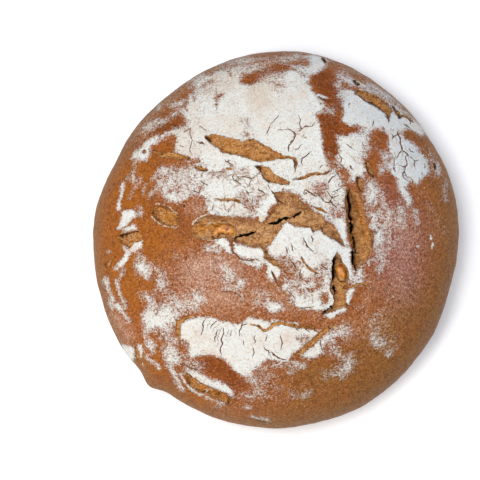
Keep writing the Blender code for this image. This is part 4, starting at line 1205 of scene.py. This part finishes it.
# Each mask adds up fields, patterns and masks above it, each times its gain, and a constant. A smooth step
# may follow (from, to, start, end), and one more mask or field to multiply by or to take the larger of.
# Patterns are centred on 0.5, so the constants bring the sums back to about 0.
crustMasks = {
    "rough": ({"rings": 1, "blotch": 0.8, "grain": 1.4, "speck": 1.3}, -2.25, None),
    # bare crust: gold where it baked thin, dark where it baked long
    "goldPatch": ({"gold": 1, "mottle": 1.4}, -0.7, (0.15, 0.85, 0, 1)),
    "darkPatch": ({"dark": 1, "blotch": 1.2}, -0.6, (0.15, 0.9, 0, 1)),
    "mauvePatch": ({"mottle": 1}, 0, (0.3, 0.7, 0.6, 1), "MULTIPLY", "mauve"),
    "olivePatch": ({"mottle": 1}, 0, (0.3, 0.6, 0.6, 1), "MULTIPLY", "olive"),
    "rimPatch": ({"rings": 1}, 0, (0.35, 0.65, 0.6, 1), "MULTIPLY", "rim"),
    "ringStreak": ({"rings": 1}, 0, (0.5, 0.72, 0, 0.4)),
    "charCloud": ({"blotch": 1}, 0, (0.46, 0.7, 0, 0.5)),
    "charSpeck": ({"grain": 1, "speck": 0.8}, 0, (0.66, 0.96, 0.75, 0)),
    "glintSpeck": ({"grain": 1, "speck": 0.8}, 0, (0.9, 1.12, 0, 0.4)),
    # thin flour: a film, then single grains
    "hazeEdge": ({"film": 1}, 0, (0, 0.35, 0.3, 1)),
    "haze": ({"film": 1, "rough": 0.5, "swirl": 2.4}, -1.2, (0.1, 1.2, 0, 0.5), "MULTIPLY", "hazeEdge"),
    "grainEdge": ({"film": 1}, 0, (0, 0.35, 0.4, 1)),
    "flourGrains": (
        {"speck": 1, "grain": 0.6, "film": 0.2}, 0, (0.98, 1.12, 0, 0.45), "MULTIPLY", "grainEdge"),
    # thick flour: half-covered crust is mottled, full plates are nearly closed
    "loose": ({"flour": -1}, 1, None, "MULTIPLY", "flour"),
    "spread": ({"loose": 1.9}, 0.5, None, "MULTIPLY", "rough"),
    "flourCover": ({"flour": 1, "spread": 1}, 0, (0.08, 0.88, 0, 1)),
    "beigePatch": ({"mottle": 1}, 0, (0.3, 0.6, 0, 1), "MULTIPLY", "beige"),
    "beigeCloud": ({"mottle": 1}, 0, (0.48, 0.72, 0, 0.4)),
    "blush": ({"rings": 1, "blotch": 0.8, "mottle": 0.8}, 0, (1.3, 1.7, 0, 0.4)),
    "shadeSpeck": ({"grain": 1, "speck": 0.8}, 0, (0.68, 0.96, 0.55, 0)),
    # hairline crackle of the flour: a coarse and a fine net, both broken
    "broken": ({"crackle": 1, "blotch": 1.3, "rings": 0.7}, -1, (0.3, 0.75, 0, 1)),
    "coarseHair": ({"coarseNet": 1}, 0, None, "MULTIPLY", "broken"),
    "fineBroken": ({"broken": 1}, 0, (0.3, 1, 0, 0.5)),
    "fineHair": ({"fineNet": 1}, 0, None, "MULTIPLY", "fineBroken"),
    "hair": ({"fineHair": 1}, 0, None, "MAXIMUM", "coarseHair"),
    "hairline": ({"flourCover": 1}, 0, (0.3, 0.9, 0, 0.85), "MULTIPLY", "hair"),
    # drawn cracks and fissures: the distance to the line's middle against its half width
    "lineWide": ({"lineWidth": 1}, 0, (0.02, 0.15, 0, 1)),
    "line": (
        {"lineWidth": 1, "lineOff": -1, "speck": -0.5}, 0.25, (-0.15, 0.15, 0, 1), "MULTIPLY", "lineWide"),
    # crumb in the tears: fibres; painted shade in the pits of the torn relief and where the tear is deepest,
    # painted light on its ridges
    "crumbBaked": ({"golden": 1, "blotch": 2}, -1, (0.1, 0.9, 0, 1)),
    "crumbToasted": ({"amber": 1, "torn": 1.2}, -0.6, (0.1, 0.9, 0, 1)),
    "crumbReddened": ({"ruddy": 1, "torn": 1.2}, -0.6, (0.1, 0.9, 0, 0.85)),
    "crumbPitShade": ({"torn": 1}, 0, (0.5, 0.38, 0, 0.7)),
    "crumbSpecks": ({"grain": 1, "speck": 0.9}, 0, (0.93, 0.74, 0, 0.6)),
    "crumbRidgeLight": ({"torn": 1, "speck": 0.8}, 0, (0.93, 1.08, 0, 0.8)),
    "crumbDeepShade": ({"deep": 1}, 0, (3.2, 5.5, 0, 0.7)),
    "inTear": ({"tearGap": 1, "grain": 1.2}, -0.6, (0.1, -0.15, 0, 1)),
    # pale lips and flaps, then scorched crumb and painted shade under the tears' edges
    "creamLip": ({"cream": 1, "grain": 1.4, "torn": 0.8}, -1.1, (0.3, 0.7, 0, 0.9)),
    "scorchedAndShaded": ({"scorchAndShade": 1, "grain": 1.4, "blotch": 1.2}, -1.3, (0.22, 0.66, 0, 0.9)),
    # the crust is satin where bare, flour and crumb are dead matt
    "flourMatt": ({"flourCover": 1}, 0, (0, 0.8, 0.55, 0.95)),
    "matt": ({"inTear": 1}, 0, (0, 1, 0, 0.85), "MAXIMUM", "flourMatt"),
    "roughness": ({"matt": 1, "grain": 0.3}, -0.15, None),
    # relief finer than the mesh: grain, flour cover, hairlines and crumb pores
    "grainRelief": ({"inTear": 1}, 0, (0, 1, 1, 2.4), "MULTIPLY", "grain"),
    "hairRelief": ({"hair": 1}, 0, None, "MULTIPLY", "flourCover"),
    "tornRelief": ({"torn": 1}, 0, None, "MULTIPLY", "inTear"),
    "poreRelief": ({"pores": 1}, 0, (0.1, 0.45, 0, 1), "MULTIPLY", "inTear"),
    "relief": ({
        "grainRelief": 1, "flourCover": 0.35, "hairRelief": -0.8, "line": -0.8, "tornRelief": 3,
        "poreRelief": 0.5, "creamLip": 0.6, "blotch": 1.4, "speck": 0.5}, 0, None),
}

# Each tone starts from one colour and takes its layers in this order: mask, and the colour or tone laid on.
crustLayers = {
    # fissures are painted nearly black, their shade; the fine cracks keep the crack brown
    "lineTone": ("crackBrown", [("lineShade", "fissureShade")]),
    "flourTone": ("flour", [
        ("beigePatch", "flourBeige"), ("coolShade", "flourCoolShade"), ("beigeCloud", "flourBeige"),
        ("blush", "flourBlush"), ("shadeSpeck", "flourShade")]),
    "crumbTone": ("crumbPale", [
        ("crumbBaked", "crumbGolden"), ("crumbToasted", "crumbAmber"), ("crumbReddened", "crumbRed"),
        ("crumbPitShade", "crumbDark"), ("crumbSpecks", "crumbDark"), ("crumbRidgeLight", "crumbLight"),
        ("crumbDeepShade", "crumbDark")]),
    "surface": ("brown", [
        ("goldPatch", "gold"), ("darkPatch", "dark"), ("mauvePatch", "mauve"), ("olivePatch", "olive"),
        ("rimPatch", "rimBrown"), ("ringStreak", "dark"), ("charCloud", "char"), ("charSpeck", "char"),
        ("glintSpeck", "glint"), ("haze", "haze"), ("flourGrains", "thinFlour"), ("flourCover", "flourTone"),
        ("hairline", "hairBrown"), ("inTear", "crumbTone"), ("creamLip", "lipCream"), ("scorchedAndShaded", "scorchAndShade"),
        ("line", "lineTone")]),
}


def makeCrust():
    material = bpy.data.materials.new("bakedRyeCrust")
    material.use_nodes = True
    tree = material.node_tree
    shader = tree.nodes["Principled BSDF"]
    place = addNode(tree, "ShaderNodeTexCoord", output="Object")
    levels = {}
    for name in fields:
        levels[name] = addNode(tree, "ShaderNodeAttribute", output="Fac", attribute_name=name)
    levels["lineOff"] = addNode(tree, "ShaderNodeMath", {0: levels["lineSide"]}, operation="ABSOLUTE")

    # the proving basket's coils left the flour in rings, so one pattern is drawn out round the loaf
    flatPlace = addNode(tree, "ShaderNodeVectorMath", {0: place, 1: (1, 1, 0)}, operation="MULTIPLY")
    outwards = addNode(tree, "ShaderNodeVectorMath", {0: flatPlace}, operation="NORMALIZE")
    reach = addNode(tree, "ShaderNodeVectorMath", {0: flatPlace}, "Value", operation="LENGTH")
    reach = addNode(tree, "ShaderNodeMath", {0: reach, 1: 1000 / crustLook["ringMm"]}, operation="MULTIPLY")
    reach = addNode(tree, "ShaderNodeCombineXYZ", {"Z": reach})
    coil = {0: outwards, 1: (crustLook["ringsRound"],) * 3, 2: reach}
    coiled = addNode(tree, "ShaderNodeVectorMath", coil, operation="MULTIPLY_ADD")
    # the crumb is pulled into fibres across the loaf
    turned = (0, 0, math.radians(crustLook["fibreAngle"]))
    stretched = (crustLook["fibreStretch"], 1, 1)
    pulled = addNode(tree, "ShaderNodeMapping", {"Vector": place, "Rotation": turned, "Scale": stretched})
    # hairlines and pores are bent by a coarse noise and then by a fine one
    jagged = place
    for size, far in crustLook["bendsMm"]:
        gust = {"Vector": jagged, "Scale": 1000 / size, "Detail": 3.0}
        wind = addNode(tree, "ShaderNodeTexNoise", gust, "Color")
        wind = addNode(tree, "ShaderNodeVectorMath", {0: wind, 1: (0.5, 0.5, 0.5)}, operation="SUBTRACT")
        bend = {0: wind, 1: (far * mm,) * 3, 2: jagged}
        jagged = addNode(tree, "ShaderNodeVectorMath", bend, operation="MULTIPLY_ADD")

    grounds = {"place": place, "coiled": coiled, "pulled": pulled}
    for name, (size, detail, roughness, distortion, ground) in crustLook["patterns"].items():
        look = {"Scale": 1000 / size, "Detail": detail, "Roughness": roughness, "Distortion": distortion}
        levels[name] = addNode(tree, "ShaderNodeTexNoise", {"Vector": grounds[ground], **look}, "Fac")
    pores = {"Vector": jagged, "Scale": 1000 / crustLook["poreMm"]}
    levels["pores"] = addNode(tree, "ShaderNodeTexVoronoi", pores, "Distance", feature="F1")
    for name, (size, width) in crustLook["netsMm"].items():
        cells = {"Vector": jagged, "Scale": 1000 / size}
        walls = addNode(tree, "ShaderNodeTexVoronoi", cells, "Distance", feature="DISTANCE_TO_EDGE")
        step = {0: walls, 1: 0.25 * width / size, 2: width / size, 3: 1.0, 4: 0.0}
        levels[name] = addNode(tree, "ShaderNodeMapRange", step, interpolation_type="SMOOTHSTEP")

    for name, (gains, plus, steps, *last) in crustMasks.items():
        level = plus
        for source, gain in gains.items():
            term = {0: levels[source], 1: gain, 2: level}
            level = addNode(tree, "ShaderNodeMath", term, operation="MULTIPLY_ADD")
        if steps:
            step = dict(enumerate((level, *steps)))
            level = addNode(tree, "ShaderNodeMapRange", step, interpolation_type="SMOOTHSTEP")
        if last:
            operation, other = last
            level = addNode(tree, "ShaderNodeMath", {0: level, 1: levels[other]}, operation=operation)
        levels[name] = level

    tones = {name: linearColour(hexText) for name, hexText in crustLook["colours"].items()}
    for name, (ground, layers) in crustLayers.items():
        tone = tones[ground]
        for mask, over in layers:
            blend = {0: levels[mask], 6: tone, 7: tones[over]}
            tone = addNode(tree, "ShaderNodeMix", blend, 2, data_type="RGBA")
        tones[name] = tone

    bump = {"Strength": 1.0, "Distance": crustLook["reliefMm"] * mm, "Height": levels["relief"]}
    tree.links.new(tones["surface"], shader.inputs["Base Color"])
    tree.links.new(levels["roughness"], shader.inputs["Roughness"])
    tree.links.new(addNode(tree, "ShaderNodeBump", bump), shader.inputs["Normal"])
    shader.inputs["IOR"].default_value = crustLook["ior"]
    shader.inputs["Specular IOR Level"].default_value = crustLook["specular"]
    return material


mesh.materials.append(makeCrust())
print("crust made")

# Roasted kernel: oily and slightly translucent, so it shines and glows, with scraps of darker skin.
kernelLook = {
    "amber": "#ac6418", "gold": "#d69240", "rust": "#7c3a0c",
    "grainMm": 2.4, "skinMm": 5.0, "reliefMm": 0.2,
    "roughness": 0.28, "glow": 0.25, "glowDepths": (0.003, 0.0014, 0.0006),
    "uneven": 0.12,  # millimetres
}


def makeKernelMaterial():
    material = bpy.data.materials.new("roastedKernel")
    material.use_nodes = True
    tree = material.node_tree
    shader = tree.nodes["Principled BSDF"]
    place = addNode(tree, "ShaderNodeTexCoord", output="Object")
    patterns = {}
    for name in ("grain", "skin"):
        look = {"Vector": place, "Scale": 1000 / kernelLook[name + "Mm"], "Detail": 4.0}
        patterns[name] = addNode(tree, "ShaderNodeTexNoise", look, "Fac")
    colour = linearColour(kernelLook["amber"])
    for name, low, high, over in (("grain", 0.35, 0.6, "gold"), ("skin", 0.5, 0.66, "rust")):
        level = addNode(tree, "ShaderNodeMapRange", {0: patterns[name], 1: low, 2: high})
        blend = {0: level, 6: colour, 7: linearColour(kernelLook[over])}
        colour = addNode(tree, "ShaderNodeMix", blend, 2, data_type="RGBA")
    bump = {"Strength": 0.5, "Distance": kernelLook["reliefMm"] * mm, "Height": patterns["grain"]}
    tree.links.new(colour, shader.inputs["Base Color"])
    tree.links.new(addNode(tree, "ShaderNodeBump", bump), shader.inputs["Normal"])
    shader.inputs["Roughness"].default_value = kernelLook["roughness"]
    shader.inputs["Subsurface Weight"].default_value = kernelLook["glow"]
    shader.inputs["Subsurface Radius"].default_value = kernelLook["glowDepths"]
    return material


def placePiece(bm, name, material):
    pieceMesh = bpy.data.meshes.new(name)
    bm.to_mesh(pieceMesh)
    bm.free()
    pieceMesh.shade_smooth()
    pieceMesh.materials.append(material)
    piece = bpy.data.objects.new(name, pieceMesh)
    bpy.context.scene.collection.objects.link(piece)
    return piece


def makeKernel(flat, spine, node, rings=36, sides=28):
    # a round body swept along its spine, with blunt ends and one seam on top
    spine = np.array(spine, float)
    steps = np.linspace(0, len(spine) - 1, rings)
    path = np.stack([np.interp(steps, np.arange(len(spine)), column) for column in spine.T], 1)
    for _ in range(12):
        path[1:-1] = (path[:-2] + 2 * path[1:-1] + path[2:]) / 4
    ahead = np.gradient(path[:, :2], axis=0)
    ahead /= np.hypot(*ahead.T)[:, None]
    bm = bmesh.new()
    rows = []
    for k in range(rings):
        blunt = (1 - abs(2 * k / (rings - 1) - 1) ** 5) ** 0.5
        row = []
        for angle in np.linspace(0, 2 * math.pi, sides, endpoint=False):
            seam = 0.12 * math.exp(-((math.cos(angle) / 0.2) ** 2)) * (math.sin(angle) > 0)
            size = path[k, 3] * max(blunt, 0.02) * (1 - seam)
            sideways = size * math.cos(angle)
            row.append(bm.verts.new((
                path[k, 0] - ahead[k, 1] * sideways, path[k, 1] + ahead[k, 0] * sideways,
                path[k, 2] + flat * size * math.sin(angle))))
        rows.append(row)
    for row, nextRow in zip(rows, rows[1:]):
        for k in range(sides):
            after = (k + 1) % sides
            bm.faces.new((row[k], row[after], nextRow[after], nextRow[k]))
    bm.faces.new(rows[0][::-1])
    bm.faces.new(rows[-1])
    bmesh.ops.recalc_face_normals(bm, faces=bm.faces)
    low, high = (Vector(corner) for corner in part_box(node))
    for vert in bm.verts:
        vert.co += vert.normal * kernelLook["uneven"] * noise.noise(vert.co * 0.6)
        vert.co = (vert.co - Vector(middle)) * mm + Vector((0, 0, (low.z + high.z) / 2))
    return bm


roastedKernel = makeKernelMaterial()
for name, kernel in kernels.items():
    shape = makeKernel(kernel["flat"], kernel["spine"], kernel["node"])
    piece = placePiece(shape, name, roastedKernel)
    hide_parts(kernel["node"])
    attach(piece, "root")
print("kernels made")

# Torn crumbs on the floors of the tears. They are the same dry crumb, so dead matt, each baked a little
# differently.
crumbLook = {
    "number": 300, "sizesMm": (0.6, 1.7), "patternMm": 2.5, "roughness": 0.9,
    "tones": [(0.36, "#8a5a34"), (0.52, "#b67c48"), (0.68, "#c89a6c")],  # level of the pattern, colour
    # larger crumbs caught in a tear: plan place and half width in millimetres
    "caught": [
        (-41.4, -91.2, 1.3), (-54, -81.4, 0.8), (-47, -87, 0.9), (-45, -89.4, 0.8), (-50.6, -85.6, 0.7),
        (-38.4, -92.4, 0.8), (-33, -95, 0.7), (-98.4, -14.2, 1.2)],
}


def makeCrumbMaterial():
    material = bpy.data.materials.new("tornRyeCrumb")
    material.use_nodes = True
    tree = material.node_tree
    shader = tree.nodes["Principled BSDF"]
    place = addNode(tree, "ShaderNodeTexCoord", output="Object")
    look = {"Vector": place, "Scale": 1000 / crumbLook["patternMm"], "Detail": 3.0}
    tone = addNode(tree, "ShaderNodeValToRGB", {0: addNode(tree, "ShaderNodeTexNoise", look, "Fac")})
    elements = tone.node.color_ramp.elements
    elements.new(0.5)
    for element, (position, hexText) in zip(elements, crumbLook["tones"]):
        element.position = position
        element.color = linearColour(hexText)
    tree.links.new(tone, shader.inputs["Base Color"])
    shader.inputs["Roughness"].default_value = crumbLook["roughness"]
    return material


def makeCrumbs():
    # half sunk in the floors of the tears, as one piece
    rng = np.random.default_rng(7)
    floorOfTear = np.flatnonzero((edgeGap < -1.0) & (lineGap > 0.3) & (moat < 0.2))
    places = []
    for k in rng.choice(floorOfTear, crumbLook["number"], replace=False):
        places.append((points[k], rng.uniform(*crumbLook["sizesMm"]) ** 1.5 / 2))
    for crumbX, crumbY, halfWidth in crumbLook["caught"]:
        nearest = np.argmin(np.hypot(x - crumbX, y - crumbY) + 50 * (directions[:, 2] < 0))
        places.append((points[nearest] + (0, 0, 0.3), halfWidth))
    bm = bmesh.new()
    for place, halfWidth in places:
        chunk = bmesh.ops.create_icosphere(bm, subdivisions=2, radius=1.0)["verts"]
        stretch = rng.uniform(0.6, 1.2, 3)
        turn = Matrix.Rotation(rng.uniform(0, 6.28), 3, "Z")
        shift = Vector(rng.uniform(0, 90, 3))
        for vert in chunk:
            lump = 1 + 0.45 * noise.noise(vert.co * 1.3 + shift) + 0.2 * noise.noise(vert.co * 3 + shift)
            shaped = Vector([c * st for c, st in zip(vert.co, stretch)]) * lump * halfWidth
            vert.co = (turn @ shaped + Vector(place)) * mm
    return bm


crumbs = placePiece(makeCrumbs(), "tornCrumbs", makeCrumbMaterial())
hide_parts("loaf")
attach(crumbs, "root")
print("crumbs made")

# Floor, light and camera.
studio = {
    "floor": "#f4f4f4", "floorGlow": 0.12, "world": "#e8effb", "worldStrength": 0.44,
    "fillColour": "#eef4ff", "fillWatts": 7.0, "fillPlace": (1.0, 0.9, 1.0), "fillSize": 0.8,
    "keyColour": "#fff9f0", "keyWatts": 14.0, "keyPlace": (-1.1, -0.89, 1.27), "keySize": 0.8,
    "topColour": "#ffffff", "topWatts": 15.6, "topPlace": (-0.28, -0.1, 1.67), "topSize": 0.4,
    "tilt": 6.0, "distance": 1.6, "lens": 200.0, "aim": (-21.3, 0.0, 37.0),
}
bpy.ops.mesh.primitive_plane_add(size=6.0)
floor = bpy.context.object
floor.name = "floor"
floorPaint = bpy.data.materials.new("palePaint")
floorPaint.use_nodes = True
floorInputs = floorPaint.node_tree.nodes["Principled BSDF"].inputs
floorInputs["Base Color"].default_value = linearColour(studio["floor"])
floorInputs["Roughness"].default_value = 0.9
floorInputs["Emission Color"].default_value = (1, 1, 1, 1)
floorInputs["Emission Strength"].default_value = studio["floorGlow"]
floor.data.materials.append(floorPaint)

world = bpy.data.worlds.new("studio")
bpy.context.scene.world = world
world.use_nodes = True
world.node_tree.nodes["Background"].inputs["Color"].default_value = linearColour(studio["world"])
world.node_tree.nodes["Background"].inputs["Strength"].default_value = studio["worldStrength"]

for name in ("key", "fill", "top"):
    lightData = bpy.data.lights.new(name, "AREA")
    lightData.energy = studio[name + "Watts"]
    lightData.color = linearColour(studio[name + "Colour"])[:3]
    lightData.size = studio[name + "Size"]
    light = bpy.data.objects.new(name, lightData)
    light.location = studio[name + "Place"]
    light.rotation_euler = (Vector((0, 0, 0.03)) - light.location).to_track_quat("-Z", "Y").to_euler()
    bpy.context.scene.collection.objects.link(light)

tilt = math.radians(studio["tilt"])
cameraData = bpy.data.cameras.new("camera")
cameraData.lens = studio["lens"]
cameraData.sensor_width = 36.0
camera = bpy.data.objects.new("camera", cameraData)
back = Vector((0, -math.sin(tilt), math.cos(tilt)))
aim = Vector((np.array(studio["aim"]) - middle) * mm)
camera.location = aim + back * studio["distance"]
camera.rotation_euler = (tilt, 0, 0)
bpy.context.scene.collection.objects.link(camera)
bpy.context.scene.camera = camera
bpy.context.scene.view_settings.view_transform = "Standard"
print("studio set")
